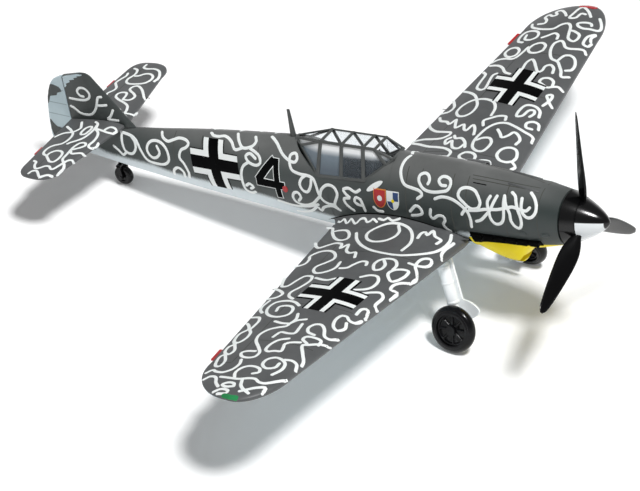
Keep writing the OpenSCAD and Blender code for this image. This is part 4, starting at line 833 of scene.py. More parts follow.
def rudder_rings():
    """Rings by height from the hinge line to the curved rear edge, closer together near the foot and top."""
    share = np.concatenate([np.linspace(0, 0.2, 9)[:-1], np.linspace(0.2, 0.8, 20)[:-1],
                            np.linspace(0.8, 1, 16)])[:, None]
    z = mix(RUDDER_FOOT, RUDDER_TOP, share)
    rear = RUDDER_REAR - curve(RUDDER_ROWS, 1, share)
    x = np.linspace(0, 1, 25)[None, :]
    half = rudder_side(z, x)
    return ring(*[stack(mix(HINGE, rear, x), k * half, z) for k in (1, -1)])


make_piece("fin_skin", loft(fin_rings()), fin_spray, replaces=["fin"], slot="camouflage_grey")
make_piece("rudder_skin", loft(rudder_rings()), blue_spray, replaces=["rudder"], slot="pale_blue")

# %% [markdown]
# ## Spinner and propeller
#
# The spinner is a blunt cone whose radius grows as station^0.62, in a front cone and a rear ring that part at
# the blades. The blades are lofts of thin sections that twist from steep at the root to flat at the tip. A
# turned profile gives the spinner, and each blade is one set of rings turned by a third of a circle.

# %% Turn a profile about the thrust line
PROP_CLOCK, PROP_R, BLADE_CHORD, SPINNER_LEN, SPINNER_POWER, SPINNER_GAP = 9.0, 17.4, 3.5, 6.4, 0.62, 0.05
SECTOR_FROM, SECTOR_TO, SECTOR_FRONT = -8, 112, 0.6


def turned(station, radius, around=96):
    """Rings of a closed profile of (station, radius) points, carried round the thrust line."""
    a = np.linspace(0, 2 * np.pi, around + 1)[:, None]
    station, radius = np.asarray(station, float)[None, :], np.asarray(radius, float)[None, :]
    return stack(station, radius * np.sin(a), radius * np.cos(a))


def spun(profile, around=96):
    """Points and outward faces of a closed profile turned all the way round the thrust line."""
    return wrapped(turned(*np.transpose(profile), around)[:-1])


def spinner_profile(start, end):
    """Outline from axis to skin: radius SPINNER_R x (station / SPINNER_LEN)^0.62 between two stations."""
    t = np.linspace(0, 1, 40) ** 1.6 if start == 0 else np.linspace(0, 1, 16)
    s = mix(start, end, t)
    r = SPINNER_R * (s / SPINNER_LEN) ** SPINNER_POWER
    return np.concatenate([[[start, 0.0]], np.stack([s, r], -1), [[end, 0.0]]])


# The white sector lies between two angles round the cone and starts a little behind its tip.
for name, start, end in (("spinner_cone", 0.0, BLADE_STATION - SPINNER_GAP),
                         ("spinner_ring", BLADE_STATION + SPINNER_GAP, SPINNER_LEN)):
    skin = make_piece(f"{name}_skin", spun(spinner_profile(start, end)), spinner_black, body="propeller",
                      replaces=[name], slot="propeller_black", sharp=40)
    at = unplace([v.co for v in skin.data.vertices])
    turn = np.degrees(np.arctan2(-at[:, 1], -at[:, 2]))
    inside = np.minimum(turn - SECTOR_FROM, SECTOR_TO - turn) * np.pi / 180 * np.hypot(at[:, 1], at[:, 2])
    inside = np.minimum(inside, at[:, 0] - SECTOR_FRONT) if name == "spinner_cone" else np.full(len(at), -1.0)
    mark_points(skin.data, "sector_mm", inside)

# %% Three blades on their hub: rows of radius share, chord share, angle in degrees and thickness in mm
BLADE_AXIS, HUB_HALF, HUB_BORE, HUB_R = 0.45, 0.7, 0.6, 2.3
BLADE_ROWS = [[0.13, 0.3, 60, 0.9], [0.19, 0.4, 57, 0.85], [0.25, 0.62, 53, 0.8], [0.34, 0.83, 49, 0.72],
              [0.46, 0.88, 46, 0.64], [0.6, 0.8, 43, 0.55], [0.75, 0.66, 41, 0.46], [0.88, 0.5, 39, 0.38],
              [0.96, 0.34, 38, 0.28], [0.995, 0.12, 38, 0.16]]


def blade_rings():
    """Sections by radius share: u along the chord and v out of it, both turned by the blade's angle."""
    share = np.concatenate([np.linspace(0.13, 0.85, 44)[:-1], np.linspace(0.85, 0.995, 18)])[:, None]
    chord, angle, thick = (curve(BLADE_ROWS, k, share) for k in (1, 2, 3))
    x = cosine_shares(20)[None, :]
    u = (x - BLADE_AXIS) * BLADE_CHORD * chord
    a = np.radians(angle)
    sides = []
    for k in (1, -1):
        v = k * thick / 2 * mix(0.25, 1, np.sqrt(np.maximum(np.sin(np.pi * x), 0)))
        sides.append(stack(BLADE_STATION - u * np.sin(a) - v * np.cos(a), v * np.sin(a) - u * np.cos(a),
                           PROP_R * share))
    return ring(*sides)


def clock(points, degrees):
    """Turns points about the thrust line: side and height rotate, station stays."""
    a = math.radians(degrees)
    y, z = points[..., 1], points[..., 2]
    return stack(points[..., 0], y * math.cos(a) - z * math.sin(a), y * math.sin(a) + z * math.cos(a))


def pin(start, end, radius, around=32):
    """Rings of a plain round pin between two points: a circle square to the pin's direction, at both ends."""
    start, end = np.asarray(start, float), np.asarray(end, float)
    axis = (end - start) / np.linalg.norm(end - start)
    e1 = np.cross(axis, [0.3, 1.0, 0.2])
    e1 /= np.linalg.norm(e1)
    e2 = np.cross(axis, e1)
    a = np.linspace(0, 2 * np.pi, around, endpoint=False)[:, None]
    circle = radius * (np.cos(a) * e1 + np.sin(a) * e2)
    edge = 0.12 * radius
    return np.array([start + circle * 0.9, start + axis * edge + circle, end - axis * edge + circle,
                     end + circle * 0.9])


turns = [120 * i - PROP_CLOCK for i in range(3)]
blades = [loft(clock(blade_rings(), turn)) for turn in turns]
root = pin([BLADE_STATION, 0, 1.0], [BLADE_STATION, 0, 0.16 * PROP_R], 0.7)
hub = spun([[BLADE_STATION + k * HUB_HALF, r]
            for k, r in ((-1, HUB_BORE), (-1, HUB_R), (1, HUB_R), (1, HUB_BORE))], 64)
make_piece("propeller_blades", join(blades + [loft(clock(root, turn)) for turn in turns] + [hub]), gloss_black,
           body="propeller", replaces=["propeller"], slot="propeller_black", sharp=50)

# %% [markdown]
# ## Wheels
#
# A tyre is a circle of 2 mm carried round the axle, with a fine groove where it meets the rim. The hub is one
# turned body whose side faces rise and fall with the angle: eight spokes stand out of a dished web. Both are
# worked out along the leaning axle of their own leg.

# %% Tyres and spoked hubs, round the leaning axles
WHEEL = np.array([23.5, 11.7, -15.6])
LEAN, TYRE_R, TYRE_W, RIM_R, HUB_W, AXLE_R = 16.0, 3.75, 2.0, 2.5, 1.24, 0.45
SEAT_ANGLE, GROOVE_ANGLE, GROOVE_WIDE, GROOVE_DEEP = 103, 74, 5, 0.05
SPOKES, SPOKE_HALF, SPOKE_H, WEB, RIM_IN, BOSS_R = 8, 0.24, 0.3, 0.25, 2.12, 0.98


def on_axle(across, radius, side):
    """Points at a distance along the axle and a radius, for angles down the first axis of the two arrays."""
    a = np.linspace(0, 2 * np.pi, len(across), endpoint=False)[:, None]
    axle = np.array([0, math.cos(math.radians(LEAN)), math.sin(math.radians(LEAN))])
    upright = np.array([0, -axle[2], axle[1]])
    ahead = np.array([1.0, 0, 0])
    points = WHEEL + across[..., None] * axle + radius[..., None] * (
        np.cos(a)[..., None] * ahead + np.sin(a)[..., None] * upright)
    return points * np.array([1, side, 1])


def tyre(side):
    """Circle of half the tyre's width, less a bell-shaped groove on both sides, closed by its seat."""
    t = np.radians(np.linspace(-SEAT_ANGLE, SEAT_ANGLE, 61))
    r = TYRE_W / 2 - GROOVE_DEEP * np.exp(-((np.degrees(np.abs(t)) - GROOVE_ANGLE) / GROOVE_WIDE) ** 2)
    across, radius = r * np.sin(t), TYRE_R - TYRE_W / 2 + r * np.cos(t)
    return wrapped(on_axle(np.tile(across, (128, 1)), np.tile(radius, (128, 1)), side))


def wheel_hub(side):
    """Side faces at a height over the middle: rim and boss high, web low, and round-backed spokes between."""
    r = np.concatenate([[AXLE_R + 0.05], np.linspace(AXLE_R + 0.1, RIM_R - 0.04, 42), [RIM_R]])
    a = np.linspace(0, 2 * np.pi, 256, endpoint=False)[:, None]
    rim = np.clip((r - RIM_IN) / 0.12, 0, 1)
    boss = np.clip((BOSS_R - r) / 0.1, 0, 1)
    off = np.abs((a * SPOKES / (2 * np.pi) + 0.5) % 1 - 0.5) * 2 * np.pi / SPOKES * r
    spoke = np.sqrt(np.clip(1 - (off / SPOKE_HALF) ** 2, 0, 1)) * SPOKE_H
    face = WEB + np.maximum(np.maximum(rim, boss) * (HUB_W / 2 - WEB), spoke)
    face[:, [0, -1]] -= 0.06
    across = np.concatenate([face, -face[:, ::-1]], 1)
    return wrapped(on_axle(across, np.broadcast_to(np.concatenate([r, r[::-1]]), across.shape), side))


for name, side in SIDES:
    make_piece(f"tyre_{name}", tyre(side), tyre_black, body=f"wheel_{name}", replaces=[f"main_tyre_{name}"],
               slot="tyre_black", sharp=45)
    make_piece(f"spoked_hub_{name}", wheel_hub(side), hub_black, body=f"wheel_{name}",
               replaces=[f"main_hub_{name}"], slot="hub_black", sharp=45)

# %% [markdown]
# ## Gear doors and tail fork
#
# A door is a thin plate that hangs inboard of the leg and flares into a skirt round the front of the wheel. Its
# width is a smooth maximum of the plate's and of the skirt's circle. The fork is two slim tapered arms under a
# short strut, so that the tail wheel itself stays in view.

# %% Doors in the leg's own frame
LEG_OFFSET, LEG_RAKE, LEG_LEN, DOOR_IN, DOOR_THICK, SKIRT_R = 1.85, 16.0, 11.08, 1.33, 0.32, 3.85
DOOR_HALF, DOOR_BEVEL, SKIRT_LOW = 1.1, 0.07, 1.8
BANDS = [(3.5, 1.02), (6.6, 1.0), (9.2, 1.0)]


def at_leg(p, side):
    """Points (ahead, outboard, up) raked back, moved inboard by the leg's offset, leaned, set at the wheel."""
    rake, lean = math.radians(LEG_RAKE), math.radians(LEAN)
    x = p[..., 0] * math.cos(rake) - p[..., 2] * math.sin(rake)
    z = p[..., 0] * math.sin(rake) + p[..., 2] * math.cos(rake)
    y = p[..., 1] - LEG_OFFSET
    return stack(WHEEL[0] - x, side * (WHEEL[1] + y * math.cos(lean) - z * math.sin(lean)),
                 WHEEL[2] + y * math.sin(lean) + z * math.cos(lean))


def gear_door(side):
    """Rings up the door, from -h to (h^8 + skirt^8)^(1/8), where h is the plate's half-width.

    skirt is the half-chord at that height of a circle about the wheel, rounded off below 1.8 mm."""
    z = np.concatenate([np.linspace(0.3, 4.6, 40)[:-1], np.linspace(4.6, LEG_LEN - 0.35, 20)])[:, None]
    foot = np.clip(1 - (np.maximum(SKIRT_LOW - z, 0) / 1.5) ** 2, 0, 1)
    skirt = np.sqrt(np.maximum(SKIRT_R**2 - z**2, 0) * foot)
    right = (DOOR_HALF**8 + skirt**8) ** 0.125
    t = np.linspace(0, 1, 9)[None, :]
    faces = [stack(mix(-DOOR_HALF + k, right - k, t), y, z)
             for k, y in ((0.0, -DOOR_IN), (DOOR_BEVEL, -DOOR_IN + DOOR_THICK))]
    return at_leg(ring(*faces), side)


for name, side in SIDES:
    make_piece(f"gear_door_skin_{name}", loft(gear_door(side)), light_blue_abs, replaces=[f"gear_door_{name}"],
               slot="gear_white")
    bands = [loft(at_leg(pin([0, 0, z], [0, 0, z + 0.5], r, 48), side)) for z, r in BANDS]
    make_piece(f"gear_leg_bands_{name}", join(bands), light_blue_abs, slot="gear_white", sharp=45)

# %% The tail wheel's fork
FORK = np.array([90.1, 0, -4.9])
TAIL_R, TAIL_W, ARM_HALF, ARM_GAP, ARM_THICK = 1.67, 1.2, 0.42, 0.15, 0.3
CROWN_HALF, CROWN_OUT, CROWN_LOW, CROWN_HIGH = 0.4, 1.05, 0.3, 0.6


def arm(side):
    """Rings up one arm: a half circle round the axle as its foot, then a little narrower up to the crown."""
    z = np.concatenate([-ARM_HALF * np.cos(np.linspace(0.1, 1.4, 9)),
                        np.linspace(0.1, TAIL_R + 0.55, 10)])[:, None]
    half = np.where(z < 0, np.sqrt(np.maximum(ARM_HALF**2 - z**2, 0)), ARM_HALF)
    half = half * mix(1, 0.8, np.clip(z / TAIL_R, 0, 1))
    t = np.linspace(-1, 1, 5)[None, :]
    near, far = TAIL_W / 2 + ARM_GAP, TAIL_W / 2 + ARM_GAP + ARM_THICK
    return FORK + ring(*[stack(half * t, side * y, z) for y in (near, far)])


corners = ((-1, CROWN_LOW), (1, CROWN_LOW), (1, CROWN_HIGH), (-1, CROWN_HIGH))
crown = loft(FORK + np.array([[[k * CROWN_HALF, side * CROWN_OUT, TAIL_R + z] for k, z in corners]
                              for side in (-1, 1)]))
strut = loft(pin(FORK + [0, 0, TAIL_R + 0.4], FORK + [0, 0, TAIL_R + 1.5], 0.45))
make_piece("tail_fork_skin", join([loft(arm(1)), loft(arm(-1)), crown, strut]), hub_black,
           replaces=["tail_wheel_fork"], slot="hub_black")

# %% [markdown]
# ## Canopy
#
# A fighter's hood is flat panes in a welded frame of thin bars. The bars follow the panes' edges, with a post
# at the front, middle and back of each side. The side panes carry a painted reflection on their outside: a
# colour from blue-grey to near white, standing for the room they catch, while the roof and windscreen stay
# clear.

# %% Corners of the panes, and thin bars along their edges
APEX, ROOF_BACK, ROOF_FRONT = np.array([[53.5, 0.35, 7.58], [48.1, 1.8, 8.45], [38.3, 1.8, 8.4]])
SILL_B, SILL_F, FOOT = np.array([[48.4, 3.9, 3.58], [40.0, 3.9, 3.88], [35.4, 1.5, 6.98]])
KNEE = np.array([36.6, 2.15, 6.25])
ROOF_MID, ROOF_POST = mix(ROOF_FRONT, ROOF_BACK, 0.608), mix(ROOF_FRONT, ROOF_BACK, 0.214)
SILL_MID, REAR_KNEE = mix(SILL_F, SILL_B, 0.485), mix(APEX, SILL_B, 0.19)


def facing(a, b, c):
    """Unit normal of the plane through three points, turned upward or outboard."""
    n = np.cross(b - a, c - a)
    n /= np.linalg.norm(n)
    return n if n[2] + n[1] > 0 else -n


SIDE_N, REAR_N = facing(ROOF_BACK, ROOF_FRONT, SILL_F), facing(APEX, ROOF_BACK, SILL_B)
SCREEN_N = facing(ROOF_FRONT, SILL_F, FOOT)
TOP_N, EDGE_N = np.array([0.0, 0, 1]), np.array([0, 0.55, 0.84])
FRONT_N = np.array([-0.4, 0, 0.9])


def bar(a, b, normal, side=1, width=0.5, thick=0.3, edge=0.06):
    """A bar from a to b with bevelled edges: its width lies in the pane, its thickness along the normal.

    It runs 0.15 mm past both ends, so that bars join, and stands 0.12 mm out of the pane."""
    along = (b - a) / np.linalg.norm(b - a)
    n = normal - (normal @ along) * along
    n /= np.linalg.norm(n)
    across = np.cross(along, n)
    w, t = width / 2, thick / 2
    out = [(-w, t - edge), (-w + edge, t), (w - edge, t), (w, t - edge)]
    ends = (a - 0.15 * along, b + 0.15 * along)
    chains = [np.array([[p + x * across + k * y * n for x, y in out] for p in ends]) for k in (1, -1)]
    return loft((ring(*chains) + 0.12 * n) * np.array([1, side, 1]))


def across_hood(p):
    """The same point on the other side."""
    return p * np.array([1, -1, 1])


bars = []
for side in (1, -1):
    bars += [bar(*ends, normal, side, width) for *ends, normal, width in (
        (APEX, ROOF_BACK, EDGE_N, 0.42), (ROOF_BACK, ROOF_FRONT, EDGE_N, 0.46), (APEX, SILL_B, REAR_N, 0.4),
        (SILL_B, SILL_F, SIDE_N, 0.5), (SILL_F, FOOT, SCREEN_N, 0.4), (ROOF_BACK, SILL_B, SIDE_N, 0.58),
        (ROOF_MID, SILL_MID, SIDE_N, 0.58), (ROOF_POST, SILL_F, SIDE_N, 0.62),
        (ROOF_FRONT, KNEE, SCREEN_N, 0.5), (ROOF_FRONT, FOOT, SCREEN_N, 0.4),
        (ROOF_BACK, REAR_KNEE, REAR_N, 0.4))]
bars += [bar(p, across_hood(p), normal, 1, width) for p, normal, width in (
    (ROOF_BACK, TOP_N, 0.5), (ROOF_MID, TOP_N, 0.5), (ROOF_POST, TOP_N, 0.5), (ROOF_FRONT, TOP_N, 0.46),
    (FOOT, FRONT_N, 0.4), (APEX, TOP_N, 0.4))]
make_piece("canopy_bars", join(bars), frame_grey, replaces=["canopy_frame"], slot="frame_grey")


# %% Panes as thin slabs between the bars
def slab(a, b, c, d, thick=0.14):
    """Bilinear grid over four corners, moved by half the thickness along its normal to either side."""
    n = facing(a, b, c) if np.linalg.norm(np.cross(b - a, c - a)) > 1e-6 else facing(a, c, d)
    u, v = np.meshgrid(np.linspace(0, 1, 7), np.linspace(0, 1, 8), indexing="ij")
    grid = mix(mix(a, b, u[..., None]), mix(d, c, u[..., None]), v[..., None])
    return loft(ring(grid + n * thick / 2, grid - n * thick / 2))


clear_panes = [slab(ROOF_BACK, ROOF_FRONT, across_hood(ROOF_FRONT), across_hood(ROOF_BACK)),
               slab(APEX, ROOF_BACK, across_hood(ROOF_BACK), across_hood(APEX)),
               slab(FOOT, ROOF_FRONT, across_hood(ROOF_FRONT), across_hood(FOOT))]
make_piece("canopy_clear_panes", join(clear_panes), pane, replaces=["canopy_glass"], slot="clear_glazing")
for name, side in SIDES:
    flip = np.array([1, side, 1])
    sides = [slab(*(p * flip for p in corners)) for corners in (
        (ROOF_BACK, ROOF_FRONT, SILL_F, SILL_B), (APEX, ROOF_BACK, SILL_B, SILL_B),
        (ROOF_FRONT, FOOT, SILL_F, SILL_F))]
    glass = make_piece(f"canopy_side_panes_{name}", join(sides), side_pane, slot="clear_glazing")
    normals = np.array([v.normal for v in glass.data.vertices])
    mark_points(glass.data, "outside", normals @ PORT * side > 0.2)

# %% [markdown]
# ## Mast, guns and trim tabs
#
# Three small things that stand on the skins: the aerial mast is a thin tapered blade, the gun barrels lie half
# sunk in the deck, and the elevator's trim tabs are slivers of red behind its trailing edge.

# %% Mast, barrels and elevator tabs
MAST_S, MAST_H, MAST_LEAN = 54.4, 4.9, 0.08
GUN_FRONT, GUN_STAGGER, GUN_Y, GUN_LEN, GUN_R, GUN_SINK = 10.5, 0.9, 1.5, 5, 0.19, 0.02


def mast():
    """Rings up the mast: lens-shaped sections whose half-length goes from 0.56 to 0.28 mm, leaning forward."""
    up = np.linspace(0, 1, 12)[:, None]
    half, thick = mix(0.56, 0.28, up), mix(0.26, 0.15, up)
    t = np.linspace(-1, 1, 9)[None, :]
    return ring(*[stack(MAST_S - MAST_LEAN * up + half * t, k * thick * np.sqrt(1.02 - t**2),
                        SPINE_H - 0.1 + up * MAST_H) for k in (1, -1)])


make_piece("antenna_mast_skin", loft(mast()), frame_grey, replaces=["antenna_mast"], slot="frame_grey",
           sharp=50)


def gun_end(s, side):
    """A barrel's axis at station s: on the deck, less a hair, at an angle of arccos(side distance / w)."""
    angle = 90 - math.degrees(math.asin(GUN_Y / float(curve(BODY_ROWS, 3, s))))
    return [s, side * GUN_Y, float(body_point(s, angle)[2]) - GUN_SINK]


barrels = []
for side, start in ((1, GUN_FRONT + GUN_STAGGER), (-1, GUN_FRONT)):
    barrels.append(loft(pin(gun_end(start, side), gun_end(start + GUN_LEN, side), GUN_R)))
make_piece("gun_barrels_skin", join(barrels), grey_spray, replaces=["gun_barrels"], slot="camouflage_grey",
           sharp=50)


def sliver(side, y0, y1, s0, s1):
    """A tab from y0 to y1: 0.2 mm thick where it leaves the trailing edge, and 0.08 mm at its own."""
    y = np.linspace(y0, y1, 6)[:, None]
    s = np.array([[s0, mix(s0, s1, 0.7), s1]])
    half = np.array([[0.1, 0.08, 0.04]])
    rings = ring(*[stack(s + 0 * y, y + 0 * s, TAIL_H + k * half) for k in (1, -1)])
    return loft(rings * np.array([1, side, 1]))


edge = float(tail_edges(10.6)[1])
tabs = [sliver(side, 9.6, 11.7, edge + 0.02, edge + 0.36) for side in (1, -1)]
make_piece("elevator_tabs_skin", join(tabs), red_ink, replaces=["elevator_tabs"], slot="trim_red")

# %% [markdown]
# ## CAD parts that keep their shape
#
# Flat-sided parts such as the seat, the gear legs and the exhaust stubs are already exact in the CAD frame, so
# they only get a finish. Their meshes stay untouched.

# %% Finishes for the parts that stay
FINISH = {cockpit_grey: ["cockpit_tub", "seat"],
          panel_black: ["instrument_panel", "control_stick", "gunsight"],
          exhaust_black: ["exhaust_left", "exhaust_right", "oil_cooler_core"],
          light_blue_abs: ["gear_leg_left", "gear_leg_right"],
          hub_black: ["main_axle_left", "main_axle_right", "tail_axle", "nose_bulkhead"],
          tyre_black: ["tail_wheel"], grey_spray: ["air_intake"], red_ink: ["aileron_tabs"],
          bush_brass: ["shaft_bush"], shaft_steel: ["prop_shaft", "shaft_collar"]}
for material, names in FINISH.items():
    for name in names:
        node = frame["nodes"][name]
        for entry in node.material_slots:
            entry.material = material
        if not node.material_slots:
            node.data.materials.append(material)
        print(name, "->", material.name)


# %% [markdown]
# ## Wing root fairings
#
# Where the wing meets the body, sheet metal is bent into a hollow curve so that air doesn't pile up in the
# corner. It is widest over the wing's thick part and runs out in a point behind the trailing edge. A quadratic
# Bezier from the body's side to the wing's skin, carried along the root, gives that curve.

# %% One hollow curve per station: rows of station, height on the body and reach out over the wing
FAIRING = [[22.0, -5.0, 0.0], [25.2, -3.2, 1.0], [29.0, -1.9, 1.5], [33.1, -1.2, 1.9], [36.4, -1.2, 2.1],
           [40.5, -1.65, 2.2], [44.3, -2.8, 1.7], [46.4, -3.7, 0.9], [48.4, -4.6, 0.0]]


def fairing(side):
    """Rings of (1 - t)^2 A + 2 t (1 - t) C + t^2 B: A on the body, B on the wing, C in the corner between."""
    s = np.linspace(FAIRING[0][0] + 0.6, FAIRING[-1][0], 60)[:, None]
    high, reach = curve(FAIRING, 1, s), curve(FAIRING, 2, s)
    y = ROOT_Y + reach
    front, back = wing_edges(y)
    skin = wing_height(y, np.clip((s - front) / (back - front), 0.02, 1), 1)
    behind = np.clip((s - ROOT_TE + 0.6) / 1.2, 0, 1)
    foot_h = mix(skin + 0.02, np.minimum(high - 0.1, skin), behind)
    a = body_point(s, body_angle(s, high), 0.02)
    b = mix(stack(s, y, foot_h), body_point(s, body_angle(s, foot_h), -0.02), behind[..., None])
    c = stack(s, a[..., 1] + 0.1 * reach, foot_h + 0.12 * (high - foot_h))
    t = np.linspace(0, 1, 13)[None, :, None]
    out = (1 - t) ** 2 * a + 2 * t * (1 - t) * c + t**2 * b
    inner = out - np.array([0, 0.45, 0.35]) * np.clip(4 * t * (1 - t) + 0.25, 0, 1)
    rings = ring(out, inner)
    rings[..., 1] *= side
    return rings


def fairing_height(y, s):
    """Height of the fairing at (side distance, station), or -99 where there is none.

    The curve's t solves 2 q t + (D - 2 q) t^2 = y - y(A), with D and q the distances from A out to B and C."""
    high, reach = curve(FAIRING, 1, s), np.maximum(curve(FAIRING, 2, s), 0.02)
    a = body_point(s, body_angle(s, high), 0.02)
    front, back = wing_edges(ROOT_Y + reach)
    foot_h = wing_height(ROOT_Y + reach, np.clip((s - front) / (back - front), 0.02, 1), 1) + 0.02
    q, d = 0.1 * reach, np.maximum(ROOT_Y + reach - a[..., 1], 0.05)
    root = np.sqrt(np.maximum(q**2 + (d - 2 * q) * np.clip(y - a[..., 1], 0, None), 0))
    t = np.clip((-q + root) / np.maximum(d - 2 * q, 1e-3), 0, 1)
    high_c = foot_h + 0.12 * (high - foot_h)
    height = (1 - t) ** 2 * a[..., 2] + 2 * t * (1 - t) * high_c + t**2 * foot_h
    return np.where((t < 1) & (s > FAIRING[0][0] + 0.6) & (s < ROOT_TE - 0.6), height, -99.0)


for name, side in SIDES:
    make_piece(f"root_fairing_{name}", loft(fairing(side)), grey_spray, slot="camouflage_grey", sharp=60)

# %% [markdown]
# ## Drawing on the skins
#
# The worm lines, crosses and panel joints follow curved skins exactly. A line is drawn flat, in the skin's own
# two coordinates, then every point is looked up on the skin and raised a few hundredths along its normal. That
# is how a printing pad lays its ink, and it needs no image and no unwrapping.

# %% Skins as functions of two coordinates in millimetres
def quarter_girth(s):
    """Arc of a quarter section by Ramanujan's rule: pi / 4 x (1.5 (w + h) - sqrt(w h))."""
    w, h = curve(BODY_ROWS, 3, s), (curve(BODY_ROWS, 1, s) - curve(BODY_ROWS, 2, s)) / 2
    return math.pi / 4 * (1.5 * (w + h) - np.sqrt(w * h))


def wing_skin(side):
    """Upper skin of the wing at (side distance, station)."""
    def at(y, s):
        front, back = wing_edges(y)
        plain = wing_height(y, np.clip((s - front) / (back - front), 0.0005, 1), 1)
        return stack(s, side * y, np.maximum(plain, fairing_height(y, s)))
    return at


def side_skin(side):
    """Side of the fuselage at (station, height)."""
    def at(s, z):
        return body_point(s, body_angle(s, z)) * np.array([1, side, 1])
    return at


def body_skin(side):
    """Side of the fuselage at (station, girth over the waist)."""
    def at(s, g):
        p = body_point(s, np.clip(g / quarter_girth(s) * 90, -90, 90))
        return p * np.array([1, side, 1])
    return at


def tail_skin(side):
    """Upper skin of the tailplane at (side distance, station)."""
    def at(y, s):
        front, back = tail_edges(y)
        x = np.clip((s - front) / (back - front), 0.0005, 1)
        return stack(s, side * y, TAIL_H + tail_half(y, x))
    return at


def fin_skin(side):
    """Side of the fin at (station, height)."""
    def at(s, z):
        x = np.clip((s - fin_front(z)) / (FIN_REAR - fin_front(z)), 0, 1)
        return stack(s, side * fin_side(z, x), z)
    return at


def rudder_skin(side):
    """Side of the rudder at (station, height)."""
    def at(s, z):
        rear = RUDDER_REAR - curve(RUDDER_ROWS, 1, (z - RUDDER_FOOT) / (RUDDER_TOP - RUDDER_FOOT))
        x = np.clip((s - HINGE) / (rear - HINGE), 0, 1)
        return stack(s, side * rudder_side(z, x), z)
    return at


# %% Raise flat drawings onto a skin
def drape(skin, u, v, lift):
    """Points of the skin at (u, v), moved by lift along its unit normal, the cross product of its two slopes.

    On a flat skin the normal is turned upward, and on a steep one away from the middle of the aircraft."""
    d = 0.02
    u, v, lift = np.broadcast_arrays(*(np.asarray(part, float) for part in (u, v, lift)))
    p = skin(u, v)
    n = np.cross(skin(u + d, v) - skin(u - d, v), skin(u, v + d) - skin(u, v - d))
    n /= np.maximum(np.linalg.norm(n, axis=-1, keepdims=True), 1e-12)
    hint = np.where(np.abs(n[..., 2:]) > 0.7, n[..., 2:], n[..., 1:2] * np.sign(p[..., 1:2] + 1e-9))
    return p + n * np.where(hint < 0, -1, 1) * lift[..., None]


def smooth_path(points, step=0.3):
    """A cubic curve through control points, by distance along them, in steps of about step mm."""
    at = np.concatenate([[0], np.cumsum(np.linalg.norm(np.diff(points, axis=0), axis=1))])
    rows = np.column_stack([at, points])
    t = np.linspace(0, at[-1], max(5, int(at[-1] / step) + 1))
    return np.stack([curve(rows, 1, t), curve(rows, 2, t)], -1)


def painted_line(skin, points, width, lift=0.035, sink=0.08, round_ends=True):
    """A strip along a smooth path; ends close with half-widths r sqrt(1 - (d / r)^2).

    Each half-width is divided by how far the skin really runs per unit across the path."""
    path = smooth_path(np.asarray(points, float))
    slope = np.gradient(path, axis=0)
    slope /= np.maximum(np.linalg.norm(slope, axis=1, keepdims=True), 1e-9)
    half = np.full(len(path), width / 2)
    if round_ends:
        d = np.array([0.98, 0.9, 0.75, 0.5, 0.25]) * width / 2
        cap = np.sqrt((width / 2) ** 2 - d**2)
        path = np.concatenate([path[0] - d[:, None] * slope[0], path, path[-1] + d[::-1, None] * slope[-1]])
        slope = np.concatenate([np.tile(slope[0], (5, 1)), slope, np.tile(slope[-1], (5, 1))])
        half = np.concatenate([cap, half, cap[::-1]])
    across = np.stack([-slope[:, 1], slope[:, 0]], -1)
    ends = [skin(*(path + k * 0.05 * across).T) for k in (1, -1)]
    half = half / np.maximum(np.linalg.norm(ends[0] - ends[1], axis=-1) / 0.1, 0.5)
    offset = np.array([-1, -0.8, -0.3, 0.3, 0.8, 1])
    u = path[:, None, 0] + across[:, None, 0] * half[:, None] * offset
    v = path[:, None, 1] + across[:, None, 1] * half[:, None] * offset
    top = drape(skin, u, v, lift * np.array([0.3, 1, 1, 1, 1, 0.3]))
    return loft(ring(top, drape(skin, u, v, -sink)))


def strokes(text):
    """Strokes from lines of number pairs, their control points. An indented line carries on the one above."""
    lines = text.strip().replace("\n  ", " ").replace(",", " ").splitlines()
    return [np.array(line.split(), float).reshape(-1, 2) for line in lines]


def ink(name, shapes, material, slot="camouflage_grey"):
    """Several patches or lines of one colour as one piece."""
    make_piece(name, join(shapes), material, slot=slot, sharp=60)


def draw(name, skin, paths, width, material, lift=0.035, slot="camouflage_grey", **how):
    """All lines of one skin as one piece, at four heights by turns, so that few crossings share a plane."""
    lines = [painted_line(skin, path, width, lift + 0.003 * (i % 4), **how) for i, path in enumerate(paths)]
    ink(name, lines, material, slot)


# %% [markdown]
# ## The worm lines
#
# Pale lines squirm over every upper surface, each drawn once by hand and never straight for long. They are
# written as control points in millimetres on the skin and keep clear of the crosses. Those of wings and
# tailplanes run as side distance and station, the fuselage's as station and girth over the waist, and the
# fin's as station and height.

